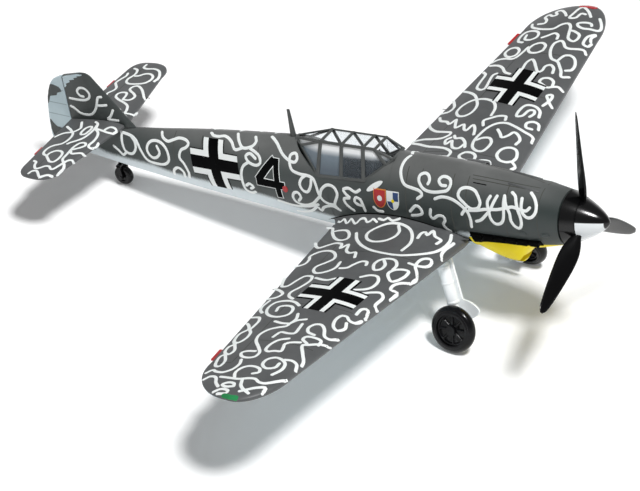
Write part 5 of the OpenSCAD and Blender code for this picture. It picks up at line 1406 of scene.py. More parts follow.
# %% Strokes, skin by skin
STARBOARD_WING = strokes("""
6.8,23.8 7.8,23.9 9,24.05 10.3,23.95 11,23.6
5.4,24.9 6.8,24.4 9,24.4 11,25.1 13,26.9 14.2,29 14.4,31.5 14,34 12.8,36.4 11,38.4 8.9,39.8
8.7,25.6 7.5,25.5 7.1,26.7 5.9,27.7 7.4,27.9 6.7,28.6 7.3,29 8.7,28.8
12.8,29.2 10.5,29.1 8.3,30 6.6,31.5 5.9,33.3 6,35.5 7.1,37.1 8.9,37.7 10.6,36.8 11.4,35.2 10.9,33.4 9.4,32.5
  7.8,32.6 6.3,33.6
15.4,26.5 15.2,25.2 14.4,24.3 13.2,24.1 12.5,24.5 13.1,25.3 14.1,25.6 15.5,25.4 16.6,24.6 17.8,24.1
  19.3,24.4 20.4,25.2 21.6,25.7 22.7,25.5 22.4,24.6 24.4,24.7
19.9,25.7 18.5,25.4 17.2,25.6 17.4,26.6 18.2,27.5 19.3,27.8 20.4,27.1 20.9,26.3 19.9,25.7
18.1,27.7 16.8,27.8 15.7,28.7 15.7,30 16.6,31 17.9,31.1 19.3,30.2 18.8,29.4 17.5,29.4 16.4,30.2
21.8,31.1 20.9,30 20.8,28.8 22,28 23.7,28 24.7,28.7 25.4,30
27.9,24.9 27.3,25.5 25,25.5 24.3,26.2 24.8,27.2 25.7,28.3
18.4,32.2 17.5,32.6 17.5,33.5 18.6,34.3 19.7,34.8 20,35.9
16.5,35.4 15,36.2 15.3,37.1 14.6,38.1 12.6,39 13.8,39.7 12.5,40.3 12.1,41.7 12.7,42.8 13.4,44 12.8,45
  11.8,45.7
18.2,37 20,36.8 21.3,37.8 21.7,39.2 20.8,40.3 19.6,40.5 18.4,39.5 17.1,38.8 15.6,39.6 14.6,41.2 14.8,43
  16,44 17.3,43.4 18.6,43.4 19.3,44.7
6.7,46.6 6.8,45.7 8.5,44.6 10.5,42.8 11.2,41.3 10.7,40.4 9.3,40.9 8,42.2 7.8,43.8 8.1,44.8
23.1,34.9 23.7,35.9 23.6,37 23.2,38.3
29.7,38.4 28.9,39.6 27.7,40.1 26,39.3 24.2,38.8 22.8,39.3 22.7,40.7 24,41.4 25.6,42 25.7,43 24.3,43.8
  23,44.3
26.4,43.8 27.2,42.3 28.2,41.3 29.2,41.8 29.6,43.2
30.9,26.5 30.2,26.55 29.4,26.5 28.9,26.0 29.1,25.6 29.9,25.4 30.7,25.2
33.4,39 32.2,39.3 31.8,38.4 32,37.1 32.9,36.3 34.3,36.2 35.1,37.3 35,38.9 34,40.4 32.3,41.2 30.8,40.8
  30.3,39 30.7,37.3 31.6,36
30.2,42.4 32,42.6 33.2,42.1 33.9,41.3
31.5,25.4 32.7,25.8 32.8,26.6 32.2,27.3 32.4,28.1 33.8,28.3 35.4,27.7 35.9,26.8 34.8,26.2 33.6,26.6
37.4,25.9 38.3,26.6 38.2,27.5 36.6,28.5 35.8,29.5 36.1,30.4 37.2,30.8 38.3,30.2 38.6,29
39.6,25.9 40.3,27.3 41.2,28.4 41.7,29.1 43.5,28 45,27 45.9,26.8
40.5,27.2 39.4,27.4 39.2,28.6 39.5,29.8 40.3,29.9 41,28.8
41.2,29.8 41.6,30.9 42.3,31.7 43.3,31.4 44.3,31.2 44.5,32.2 44.9,33.1 44.3,33.8 42.7,33.8 41.5,33.2 40.8,32
36.6,32.3 37.8,32.1 39.2,32 39.5,33 39.4,34.3 40.9,34.7
35.2,32.5 35.8,33.7 36.8,34.3 37.6,34.4 38.2,35.6 39,36.8 40.5,37.4 42.2,36.9 44,35.3 45.4,34.2 46.6,34.2
  47.1,35.1 46.8,36.5 45.8,37.1 45.3,36.4 45.2,35.1
34,34.7 35.4,34.1 36.8,34.3
36.9,34.5 36.9,35.8 36.5,37.2
47.4,26.9 46.2,27.4 45.8,28.4 46.1,29.4
50.2,29 48.5,28.5 47,28.8 46.2,29.9 46.1,31 47,31.9 48.3,31.8 49.1,30.7 48.4,29.6 47.3,29.6
51,31.8 50.4,31.1 49.5,31.6 49.2,33.2 49.9,34.3 51.3,34.6 52.5,34
50,26.9 51.2,27.7 52.4,28.8 52.6,29.7 52.1,30.7 52.3,31.8 52.8,33.1 52.8,34.6 52.7,36.3
54.3,28.2 53.2,28.3 53.9,29.5 54.7,30.4 55.4,31.3
55.3,29.9 54.9,30.9 54.2,31.8 52.9,32.4
54.6,32.8 54,33.1 53.9,34.1 54.5,34.9 54.9,34 54.6,32.8
55,35.3 54.2,36.2 52.9,37.1 52.7,38.2 53.5,38.9
56.2,35.4 55.5,34.4 55.7,33.1 56.3,33.2 56.5,34.5
47.8,35.9 49,35.4 50.5,35.6 51.5,36.7 51.4,38 51,38.9 51.8,39.6
35.3,42.2 35.4,40.9 36.5,40.2 38,40.1 39.1,40.1 40,39.4 41.5,39.1 42.9,39.6 42.8,40.5 41.6,41.1 40.2,41.2
  39,40.5 37.8,41.2 37.2,41.9
42.5,40.8 44,39.6 45.4,38.8 46.4,39.1 45.8,40.2 44.3,40.6 43.4,39.9
45.5,40.4 47,39.3 48.5,38.4 49.9,38.4 49.8,39.2 48.5,39.9 47,40.2 46.3,39.5
""")
PORT_WING = strokes("""
13.4,24.5 14.3,24.3 14.9,25.1
15,25.1 16.2,25 17.6,25.7 17.7,26.8 16.8,27.8 15.3,27.9 14.3,27 14.3,25.9 15,25.1
18.8,26.4 20,26.3 21,27.1 21.3,28 20.2,28.5 19.5,29.2 20.3,29.9 21.2,30.8
20.7,24.7 21.8,25 22.1,26.5 22.7,28.5 23.1,30.3 22.6,31.8 21.2,32.8 19.4,33.2 17.7,33.3 16.1,32.7 15.3,31.6
  15.4,30.6 16.3,30.2 17.8,30.2 18.8,31 18.7,32.1 18,33
23.9,25.1 24.9,25.5 25,26.4 24.2,27.2 23.2,26.8 23.3,25.9
26.4,26.2 27.8,26.7 28.5,28 28.2,29.4 26.5,29.8 25.2,29.5 25.6,28.7 27.2,28.3 27.5,27.6 26.8,27.2 25.8,27.5
12.4,27.7 13.3,28.2 13.3,29.2 12.8,30.5 12.6,31.9 12.9,33.2 13.7,33.8 14.6,33.2 14.6,31.9 13.9,31 12.9,30.8
23.8,30.8 24.7,31.2 24.6,32.4 23.8,33.6 23.1,34.4 21.8,33.8
24.6,33.8 26.5,34.1 28.1,35.2 28.9,37 28.9,38.5 28.5,39.7 27.2,40.7 25.5,40.8 24.3,39.8 24.3,38.6 25.3,37.8
  27,37.8 28.5,38.6 30,39.8 30.9,41.2 31.5,42.8
19.3,34.2 20.8,34.8 21.8,35.7 20.3,36.1 20.6,36.7 21.9,37.5 21,38.5 22.2,39.2 23.3,39.7 22.1,40.3 22.8,41.2
  23.2,42.6 24.1,43.3
15.9,34 17.2,34.7 18.2,35.9 18.1,36.9 18.8,37.5
16.8,34.5 15.5,35 15.6,36.1 16.6,36.8 17.5,37.3 16.5,37.9 17.6,38.5 18.3,37.9
13.3,38.2 13.2,36.5 13.3,35.8 14.4,35.8 15.3,37.2 15.7,39 16,41 16.8,43.2 17.3,44.7 17.8,44.7 18.1,43 18,41
  18.2,39.5 19.1,38.6 19.7,38.7 19.9,40 20.2,41.8 21.2,43.4 22,44.1
25.4,43.6 25.7,42.5 26.8,42.1 28,42.7 28.8,43.3
13.8,40.8 14.5,42.3
14.4,43.4 14.8,44.7
29.7,25.6 30.3,26.3 31,26.9 31.7,27.4 32.3,26.8 31.5,26.5 30.4,26.6 29.2,26.9
34.1,25.9 34.5,26.8 34.1,27.6 33.6,28.3 34,29.3 34.6,30.2 35.5,30.1 35.9,29.1 35.4,28.1 34.2,27.7
37.6,26.5 37,27.5 38.3,28.2 39.5,29.1 40.3,29.8 40.8,31.1 42,32 43.5,32.6 45,32.7 45.8,31.9 45.3,31.2
  44.3,30.4 44.1,29.5 44.6,28 44.7,27.2 44.1,26.7
38.7,27.6 39.3,26.9 40.6,26.9 42,27.6 42.5,28.6 42.1,29.5 40.8,29.9
37.3,29.2 38.5,29.6 39.2,30.5 38.7,31.2 37.4,31.2 37,31.7 38.2,32.7 39.7,33.8 40.2,34.5 39.3,35 37.2,34.8
36,36.4 36.5,37.6 37.8,38.8 38.5,40 38.7,41.6
36.2,39 35.8,39.5 34,39.3 32,39 31.6,39.6 32.3,40.7 34.3,41 36,41.1 36.8,41.9
42.8,33.8 44.2,34 44.9,35.1 44.3,36.3 43,36.6 42.1,35.8 42.1,34.6 42.8,33.8
43.6,37 42,37.3 40.6,37.8 40.3,38.4 40.5,39.7 40.3,41 39.6,41.8
40.9,39 41.4,38.2 42.7,38.2 43.6,39.2 43.4,40.3 42.3,40.7 41.2,39.9 40.9,39
46.2,32.9 47.2,33.2 47.7,34.1 47,35 46.4,35.8
46.8,27 45.9,27.2 46,28 47,28.3 48.2,28.2 49.2,27.3 48,27.6 47.2,27.3
48.8,31.6 48.7,30.9 48,29.7 46.8,29.5 46.1,29.9 46.6,31 48,31.6 49.8,32.2 50.6,33 50.3,34 49,35 48.8,36.5
  49,38 49.6,39.4 50.4,39.8
45.1,38.9 45.5,39.9 47,40.2 48.2,39.7 48.4,38.3 47.8,37.2 46.6,36.9 45.8,37.7 46,38.9 47.2,39.2
53.3,28.6 52,27.7 50.8,27.3 50.2,27.6 50,28.9 49.8,29.9 50.2,31 50.9,31.4 51.4,30.4 51.4,29.2 50.9,28.9
53.2,30.2 54.3,31 55.2,31.9 55.9,32.9 55.5,33.4 53.9,33.6 52.3,33.7 52.4,32.6 53.8,32.2 53.7,31.4
52.9,34.6 53.9,35.4 54.7,36.5 54.2,37.2 53.2,36.5 52.8,37.2 53.3,38 52.5,38.4 51.5,37.6 50.6,37.5 50.4,38.6
""")
FUSELAGE_SIDE = strokes("""
11.5,5.7 10.7,4.8 10.2,3.7 10.2,2.7 10.7,2 11.4,1.8 12.1,2.2 12.5,2.9 12.65,4.6
11.2,3.3 11.7,2.8 12.8,2.9 14,3.1 15.1,2.8 16.6,2.4 18.5,2.2 19.8,1.9 21.3,1.7
14.4,5.3 13.8,4.8 13.5,3.9 13.1,2.8 12.6,1.7 12.5,.7 12.9,0 13.6,.2 14.2,1 14.4,2.1 15.1,3.3 15.5,4.6
15.5,4.5 15.5,3.3 15.4,2.2 15.5,1.1 16,.4 16.9,.2 17.6,.8 17.9,1.9 18.2,3.3 17.8,4.2
16.7,4.4 17.1,3.5 17.7,2.2 18.5,1.3 19.4,.5 20.2,.2
19.8,3.9 19.4,3 19.8,2.2 21,2 22.2,2.7 23.2,3.6 22.9,4.6 21.8,5 20.5,4.7 19.8,3.9
21.3,-.8 21.2,.3 21.6,1.4 22.9,2.4 24.4,3 26,3.1 27.2,2.7
21.9,1.9 22.6,1
25.5,4.8 26.3,4.8 26.8,5.5 26.2,6.2 25.1,6 24.7,5.2 25.1,4.2 26.3,3.8 27.9,3.6 29.3,3.9 30.2,4.9 30.2,5.8
  29.4,6.3 28.7,6 28.4,5.2 28.6,4.7
33,9.4 33.5,8 33.7,6.3 33.3,4.9 32.6,4.1 31.3,3.8 29.9,3.5 29.5,3 30.3,2.4
28.1,1 28.3,0 27.9,-.4 26.9,.2 26,.2 25.8,-.4 26.3,-1.1 26,-1.8 25.4,-2.2
31.8,.3 30.7,1.3 29.9,1 29.7,.2 30.5,-.2 31.6,-.4
36.9,-.5 37.8,-.5 38.4,0
40.7,2.4 41.5,2 42.7,2.4 43.7,2.1 43.3,1.5 42.6,1 43.7,.7 43.5,-.2 42.8,-.8 42.3,-1.1
40.2,-.8 40.4,.2 40.7,1 41.5,1.2 41.8,.5 41.2,0 40.4,-.1
45.2,-1.4 45.7,-.7 45.3,.2 44.9,1.3 45.5,2.2 46.7,2.3 47.8,1.5 48.3,.3 48.8,-.2 50,-1.2 51.7,-1.8 53.3,-1.6
  53.7,-.8 53.3,0 52.5,.2 52.1,-.5 52.7,-1.2
45.7,-.7 46.8,-.7 47.8,-.3 48.4,.7 48.8,2 49.3,2.8 50.3,3 52,3 53.3,3.3 53.8,4.3 53.7,5.3 52.8,5.7 52.4,5
  52.8,4.4 54,4.5 55.3,5.2 56.7,6.7 58.1,7.9
49.6,2.8 49.8,1.7 50.5,.7 51.3,.7 51.9,1.5 51.5,2.4 50.8,2.9
45,-1.5 46.3,-1 48,-1.5 48.8,-2.3 49.3,-1.7 50.7,-2.7 52.7,-3.6 54,-3.8
49,-1.2 51.3,-2 54,-2.4 57,-2.1
61.1,7.2 60.7,6.2 61.3,5.3 63,4.8 64,5.8 64.7,7.3
63,4.8 64.5,4.3 65.4,5.4 66.9,6.2 68.1,5.9 69.2,5.9 69.8,6.4
61.7,5 59.8,4.2 59.4,3.3 60.2,2.8 61.7,3 62.3,3.7 61.5,4.2 60.4,3.7
61.7,3 62.8,2.3 63.3,1.3 63.3,-.3 63,-1.3 62,-1.6 61.2,-1.3
61.9,-.8 61.3,-.4 62,0 62.7,-.4
79.6,4.7 79.2,3.8 78.1,3.3 77,3.7 75.8,4.2 74.4,4.1 73.8,3.6 74.3,3 75.3,2.5 75.7,1.5 74.9,.8 74.3,-.3
  74.5,-1.3
75.4,-1.3 75.4,-.4 76.3,.1 77.3,-.4 77.6,-1.3
80.3,2.2 79.8,1.5 80.4,.9 81.5,.7 82.4,1.4 82.1,2.3 81.1,2.9 79.6,2.9 78.3,2.1 78,.9 79,.2 81.1,0 82.8,.3
  83.8,1.3 84.6,2.3 85.6,2.8 87.7,3
87.6,3 87.6,2 87.4,1.1 86.9,.6 85.6,.6 84.8,1.3 84.9,2.1 85.6,2.7
86.9,.6 87.7,.2 88.6,.6 89.4,.9
""")
STARBOARD_TAILPLANE = strokes("""
3.25,90.75 3.4,89.75 3.6,88.25 3.25,87.4 2.5,87.25 2.1,87.9 2.2,88.6 2.9,89 3.5,89
1.4,92 1.9,91.25 2.75,90.9 3.5,90.5 4.1,89.75 5.1,89.2 6.5,89 7.8,89.1 8.25,88.7 8,88.2 7.25,87.95 6.6,88.1
1.9,91.25 3.5,90.95 5,90.95 6.25,91.25 7.1,91.9 7.75,92.6 8.25,93
4,91.5 3.1,91.6 2.8,92 3.3,92.6 4.6,92.7 5.3,92.3 5.1,91.7 4,91.5
1.75,94.6 2.75,94 3.6,93.6 4.4,94 4.75,94.4 4.1,95.25 3.5,96.2 3.2,96.6
4.75,94.4 5.4,93.9 6.5,93.6 7.75,93.75 8.5,94.25 8.9,95.1 9.6,95.75 10.75,95.9 11.6,95.5 12.1,94.5
4.9,94.6 5.1,95.5 5.6,96.3 6.4,96.8
12.1,94.5 11.25,94.45 10.5,93.75 10.5,92.75 11.1,92.05 12.5,91.8 13.6,92.1 13.6,92.9 13,93.6 12.25,94.4
16.4,89.5 15,89.5 14,89.75 13.25,90.4 12.5,91 11.25,91.1 9.75,91.25 8.5,91.2 7.6,90.75 7.45,90 8,89.6
  8.75,90 9.6,90.9
12.6,88.9 12.2,89.4 12.5,89.9 13.25,90.2 14.25,90.5 15.5,90.9 15.6,91.25 14.95,92 15,92.75 15.75,93.5
  15.9,94.1 15,94.9 14.1,95.25 13.75,95.9
10.25,88.3 10,89 10.5,89.9 10.75,90.5 10,91.1
17,90.1 17.1,90.9 17.7,91.75 17.8,92.1 17.1,92.75 16.5,93.5 16.7,94.25 17.3,94.5
""")
PORT_TAILPLANE = strokes("""
.9,87.3 1.9,88.75 2.5,89.75 2.95,90.2
3.4,87.2 2.6,87.2 2.4,87.9 2.25,88.6 3.25,88.95 4.25,89.5 4.9,90.4 5.4,91.5 5.9,92.5 6.6,93.4 7.5,93.6 8,93
  7.9,92.1 7.1,91.7 6,91.55
5.9,91.4 5.9,90.5 6.4,90 7.25,90 8,90.75 8.6,91.75 9.25,92.3 10,92.1 10.3,91.4 9.75,90.4 8.75,89.4 7.75,88.6
  7.4,88.2
13.25,93.9 13.4,93.25 14.1,92.5 14.25,91.5 13.6,90.6 12.5,90.4 11.4,90.9 10.9,92 10.75,93.5 11.25,94.4
  12.25,94.75 13.25,94.4 14.25,94.4 15.25,94.9 15.6,95.7
12.5,89.65 13.5,89.6 14.5,89.9 15.5,90.6 15.9,91.75 15.7,93.25 16.1,94.1 17,94.2
5.9,94.6 6.6,95.4 7.5,95.75 8.6,95.1 9.4,95.2 10.25,95.9 11,96.4 12.25,96.1 13.25,95.75 14,96
1.6,93.6 2.4,92.8 3.3,93.1 3.7,94 3.1,94.9 2.1,94.9 1.6,95.8 2.2,96.7
""")
FIN_SIDE = strokes("""
94,9.7 94.7,9.8 95.1,10.5 94.5,11.2 93.4,11.2 92.7,10.4 92.9,9.6 93.75,9.1 95,8.95 96.9,9
90.5,10 91.1,9.9 91.5,8.9 92,7.75 93,6.6 94.25,6.3 95.5,6.5 96.4,7.2 97.1,7.5
89.8,8.6 90.75,8.45 91.5,8.4
88.75,7.75 89.4,6.6 90,6.1 89.1,6 88.1,5.95
""")
ROOT_STROKES = strokes("""
5.3,46.2 4.95,45.8 5.25,45.2 4.85,44.6 5.8,43.5 5.05,43.1 6.1,41.7 5.35,41.2 5.3,40.3 5.9,39.6 5.7,39.1
  5.35,38.75 5.85,37.8
5.3,37.7 5.45,36.7 5.15,36.1 5.45,35.2 5.3,34.6 5.1,34
""")

# %% Draw them in white ink; the port wing takes the starboard wing's inner strokes besides its own
WORM, ROOT_WORM, BODY_WORM, FIN_WORM, TAIL_WORM = 0.52, 0.4, 0.5, 0.44, 0.46
inner = [path for path in STARBOARD_WING if path[:, 0].max() < 11.3] + strokes("""
5.6,24.2 7,24.6 8.6,24.3 10,25 11.4,25.4 12.2,26.2
11.6,38.6 10.4,37.4 11.2,36 12,34.8 11.6,33
""")
draw("worm_lines_wing_right", wing_skin(-1), STARBOARD_WING, WORM, white_ink)
for name, side in SIDES:
    draw(f"worm_lines_root_{name}", wing_skin(side), ROOT_STROKES, ROOT_WORM, white_ink)
draw("worm_lines_wing_left", wing_skin(1), PORT_WING + inner, WORM, white_ink)
for name, side in SIDES:
    draw(f"worm_lines_body_{name}", body_skin(side), FUSELAGE_SIDE, BODY_WORM, white_ink)
    draw(f"worm_lines_fin_{name}", fin_skin(side), FIN_SIDE, FIN_WORM, white_ink)
draw("worm_lines_tailplane_right", tail_skin(-1), STARBOARD_TAILPLANE, TAIL_WORM, white_ink)
draw("worm_lines_tailplane_left", tail_skin(1), PORT_TAILPLANE, TAIL_WORM, white_ink)

# %% [markdown]
# ## Markings
#
# The crosses are four pale angles round a black cross, with a thin dark edge outside. Beside the fuselage cross
# stand a plain figure 4 and a red dot, and ahead of it two small plain shields. Each mark is a flat patch in
# its own slanted pair of directions, draped like the lines.

# %% Patches: a drawing in slanted axes, laid on a skin
def patch(skin, centre, along, across, a, b, lift, sink=0.08):
    """A closed slab over the grid (a, b): centre + a x along + b x across, raised on top and sunk below."""
    u = centre[0] + a * along[0] + b * across[0]
    v = centre[1] + a * along[1] + b * across[1]
    return loft(ring(drape(skin, u, v, lift), drape(skin, u, v, -sink)))


def rectangle(skin, frame_of, a0, a1, b0, b1, lift):
    """A patch between two values of each direction, on a grid no coarser than 0.4 mm."""
    n, m = (max(3, int(abs(hi - lo) / 0.4) + 2) for lo, hi in ((a0, a1), (b0, b1)))
    a, b = np.meshgrid(np.linspace(a0, a1, n), np.linspace(b0, b1, m), indexing="ij")
    return patch(skin, *frame_of, a, b, lift)


def cross(name, skin, centre, along, across, reach, half=1.06, pale=0.86, edge=0.3):
    """Black bars of half-width half, a pale angle in each corner, and a thin dark angle outside that.

    Rectangles that meet overlap by 0.03 mm or less, so that no two of their edges are the same edge."""
    frame_of = (centre, np.array(along, float), np.array(across, float))
    dark, white = [], []
    outer = half + pale + edge
    for i in (-1, 1):
        for j in (-1, 1):
            for shapes, near, far, lift in ((white, half, half + pale, 0.05), (dark, half + pale, outer, 0.07)):
                shapes += [rectangle(skin, frame_of, i * near, i * reach[0], j * near, j * far, lift),
                           rectangle(skin, frame_of, i * near, i * far, j * (far - 0.03), j * reach[1], lift)]
    dark += [rectangle(skin, frame_of, -reach[0], reach[0], -half, half, 0.06),
             rectangle(skin, frame_of, -half + 0.01, half - 0.01, half - 0.03, reach[1], 0.06),
             rectangle(skin, frame_of, -half + 0.01, half - 0.01, -reach[1], 0.03 - half, 0.06)]
    ink(f"{name}_black", dark, black_ink)
    ink(f"{name}_white", white, white_ink)


cross("cross_wing_right", wing_skin(-1), (27.6, 32.65), (1, 0.055), (-0.09, 1), (4.8, 5.2))
cross("cross_wing_left", wing_skin(1), (32.6, 33.5), (1, 0), (0.2, 1), (4.6, 5.0))
for name, side in SIDES:
    cross(f"cross_body_{name}", body_skin(side), (68.5, 1.7), (1, -0.03), (0.1, 0.8), (4.7, 4.5), 0.98, 1.0,
          0.15)

# %% The figure 4, the dot and the shields: three bars (from, to, width), then the middle of each mark
FOUR = [(56.35, 4.35, 56.25, -1.3, 1.0), (56.75, 4.2, 60.1, 0.85, 1.1), (54.9, 0.75, 60.35, 0.7, 1.05)]
FOUR_S, DOT_OFF, RED_SHIELD, BLUE_SHIELD = 57.5, 2.6, (37.1, 1.6), (34.75, 1.5)
BORDER_SIZE, FIELD_SIZE = (1.12, 1.45), (1.0, 1.3)


def stroke_bar(skin, x0, y0, x1, y1, width, lift, grow=0.0):
    """A square-ended bar between two points, grown on every side by grow."""
    start, end = np.array([x0, y0]), np.array([x1, y1])
    length = np.linalg.norm(end - start)
    along = (end - start) / length
    frame_of = (start, along, np.array([-along[1], along[0]]))
    return rectangle(skin, frame_of, -grow, length + grow, -width / 2 - grow, width / 2 + grow, lift)


def disc(skin, centre, radius, lift):
    """A round patch: rows at height b = sin(t), each as wide as cos(t)."""
    t = np.linspace(-np.pi / 2 + 0.02, np.pi / 2 - 0.02, 15)[:, None]
    a = np.cos(t) * np.linspace(-1, 1, 9)[None, :] * radius
    return patch(skin, centre, (1, 0), (0, 1), a, np.sin(t) * radius + 0 * a, lift)


def shield(skin, centre, half, tall, lift, left=-1.0, right=1.0, top=1.0, foot=-1.0):
    """A heater shield: straight sides to mid-height, then in to a point as sqrt(1 - d^1.6).

    left, right, top and foot cut it to a part of itself, in shares of its half-width and its height."""
    b = np.linspace(foot, top, 17)[:, None]
    wide = np.sqrt(np.clip(1 - np.clip(-b, 0, 0.985) ** 1.6, 0, 1))
    a = half * wide * np.linspace(left, right, 7)[None, :]
    return patch(skin, centre, (1, 0), (0.0, 1), a, b * tall + 0 * a, lift)


for name, side in SIDES:
    skin = body_skin(side)
    turn = 1 if side < 0 else -1
    four = [(FOUR_S + turn * (x0 - FOUR_S), y0, FOUR_S + turn * (x1 - FOUR_S), y1, w)
            for x0, y0, x1, y1, w in FOUR]
    ink(f"figure_four_outline_{name}", [stroke_bar(skin, *bar, 0.05, 0.11) for bar in four], white_ink)
    ink(f"figure_four_{name}", [stroke_bar(skin, *bar, 0.06 + 0.004 * i) for i, bar in enumerate(four)],
        black_ink)
    ink(f"red_marks_{name}", [disc(skin, (FOUR_S - turn * DOT_OFF, 0.35), 0.5, 0.08),
                              shield(skin, RED_SHIELD, *FIELD_SIZE, 0.06)], red_ink, "trim_red")
    ink(f"shield_orange_{name}", [shield(skin, RED_SHIELD, *BORDER_SIZE, 0.05)], orange_ink, "trim_red")
    ink(f"shield_yellow_{name}", [disc(skin, (34.75, 1.55), 0.26, 0.075)], yellow_spray, "signal_yellow")
    ink(f"shield_white_{name}", [shield(skin, BLUE_SHIELD, *BORDER_SIZE, 0.05),
                                 disc(skin, (37.1, 1.7), 0.42, 0.07)], white_ink)
    ink(f"shield_blue_{name}", [shield(skin, BLUE_SHIELD, *FIELD_SIZE, 0.06, -1, -0.04, 1, 0.04),
                                shield(skin, BLUE_SHIELD, *FIELD_SIZE, 0.06, 0.04, 1, -0.04, -1)], blue_ink)

# %% The pale blot under the windscreen, and the coloured wing tip lights
v = np.linspace(-0.98, 0.98, 15)[:, None]
u = np.sqrt(1 - v**2) * np.linspace(-1, 1, 9)[None, :]
for name, side in SIDES:
    blot = patch(body_skin(side), (38.0, 3.3), (-1.4, 0.77), (0.1, 0.42), u, v + 0 * u, 0.05)
    ink(f"pale_blot_{name}", [blot], white_ink)
draw("tip_light_right", wing_skin(-1), strokes("56.68,31.2 56.78,32.2 56.68,33.2"), 0.8, tip_green, lift=0.06)
draw("tip_light_left", wing_skin(1), strokes("56.4,31.2 56.5,32.3 56.4,33.3"), 1.3, tip_red, lift=0.06)

# %% [markdown]
# ## Panel joints
#
# Engraved joints are only a few hundredths wide on the moulding, and read as faint darker lines. They are drawn
# as the finest painted line that still shows, in the grey's own shadow colour, so they stay quiet.

# %% Control surface hinges, rib lines and frame joints
WING_JOINTS = strokes("""
8,41.6 14,41.0 20,40.5 26.4,39.9
26.6,39.9 26.6,44.2
27,38.6 34,38.2 41,37.6 48.6,37.0
48.8,37.0 48.8,40.4
31,27.0 31,38.4
14.5,25.0 14.6,40.8
42,27.2 42,37.4
""")
TAIL_JOINTS = strokes("""
1.2,94.3 6,94.3 12,94.2 16.6,94.0
8,87.6 8,94.3
""")
BODY_JOINTS = [np.array([[s, -3], [s, 0], [s, 3], [s, 7]]) for s in (9.9, 15.2, 21.9, 24.4, 29.9, 32.4)]
BODY_JOINTS += [np.array([[s, -1], [s, 1], [s, 3], [s, 5.5]]) for s in (60.0, 71.2, 76.8)]
BODY_JOINTS += strokes("""
10.5,6.9 16,7.1 21.5,7.3
10.8,6.2 16,6.4 21.3,6.6
""")
RIBS_OF_RUDDER = strokes("""
97.9,7.6 100,7.6 101.95,7.6
97.9,5.4 100,5.4 102.35,5.4
97.9,2.9 100,2.9 102.45,2.9
97.9,10.2 99.5,10.2 100.95,10.2
""")
rib_shadow = surface("rudder_rib_shadow_in_blue_spray", "#9DB0B6", "#93A6AC", (0.45, 0.55), 4, 0.3, 2, IOR=1.5)
fine = {"lift": 0.012, "sink": 0.04, "round_ends": False}
for name, side in SIDES:
    draw(f"panel_joints_wing_{name}", wing_skin(side), WING_JOINTS, 0.12, joint_shadow, **fine)
    draw(f"panel_joints_tail_{name}", tail_skin(side), TAIL_JOINTS, 0.12, joint_shadow, **fine)
    draw(f"panel_joints_body_{name}", body_skin(side), BODY_JOINTS, 0.13, joint_shadow, **fine)
    draw(f"rudder_ribs_{name}", rudder_skin(side), RIBS_OF_RUDDER, 0.16, rib_shadow, slot="pale_blue", **fine)


# %% [markdown]
# ## Dark joints, painted shade and ragged paint
#
# The wing's root shows as a thin dark line along the body, and the exhaust stubs sit in a black patch of
# painted shade that stands for their recess. On the rudder and the fin's top corner the sprayed grey and pale
# blue meet in ragged edges. Shade patch and ragged paint are patches between two edges, given row by row; seam,
# the gun trough's painted shade and two small bumps are lines.

# %% A patch between two edges, and the exhaust recess's painted shade, the seam and the gun trough's painted shade
EXHAUST_SHADE_ROWS = [[10.0, -3.3, -2.3], [13, -3.65, -2.2], [17, -4.0, -2.1], [21.9, -4.3, -2.05]]
ROOT_SEAM = [(22.6, -4.55), (23.6, -4.0), (25.2, -3.2), (29, -1.9), (33.1, -1.2), (36.4, -1.2), (40.5, -1.65),
             (44.3, -2.8), (46.4, -3.7), (47.6, -4.3)]
GUN_TROUGH_SHADE = [[18.9, 5.85], [20.0, 5.9], [21.0, 5.95]]
BUMP_LEN, BUMP_W = 0.5, 0.8


def between(skin, rows, lift, name, material, slot, swap=False):
    """A patch whose rows hold one coordinate, then the near and far edge of the other, joined straight.

    swap says that the rows run along the skin's first coordinate instead of its second."""
    rows = np.array(rows, float)
    at = np.linspace(rows[0, 0], rows[-1, 0], max(12, int(abs(rows[-1, 0] - rows[0, 0]) / 0.12)))[:, None]
    order = rows[np.argsort(rows[:, 0])]
    near, far = (np.interp(at, order[:, 0], order[:, k]) for k in (1, 2))
    across = mix(near, far, np.linspace(0, 1, 7)[None, :])
    u, v = (at + 0 * across, across) if swap else (across, at + 0 * across)
    ink(name, [loft(ring(drape(skin, u, v, lift), drape(skin, u, v, -0.08)))], material, slot)


seam = np.array([(s, float(body_angle(s, z + 0.06)) / 90 * float(quarter_girth(s))) for s, z in ROOT_SEAM])
bumps = [np.array([[s, -0.9], [s + BUMP_LEN / 2, -0.9 + 0.02], [s + BUMP_LEN, -0.9]]) for s in (8.6, 12.4)]
for name, side in SIDES:
    # Painted shade: a black band on the body for the recess the exhaust stubs sit in, and a black line for the
    # shade in the gun trough.
    between(side_skin(side), EXHAUST_SHADE_ROWS, 0.16, f"exhaust_recess_painted_shade_{name}", exhaust_black, "exhaust_black",
            swap=True)
    draw(f"root_seam_{name}", body_skin(side), [seam], 0.22, black_ink, lift=0.03)
    draw(f"gun_trough_painted_shade_{name}", body_skin(side), [np.array(GUN_TROUGH_SHADE)], 0.16, black_ink, lift=0.02)
    draw(f"cowl_bumps_{name}", body_skin(side), bumps, BUMP_W, body_spray, lift=0.12)

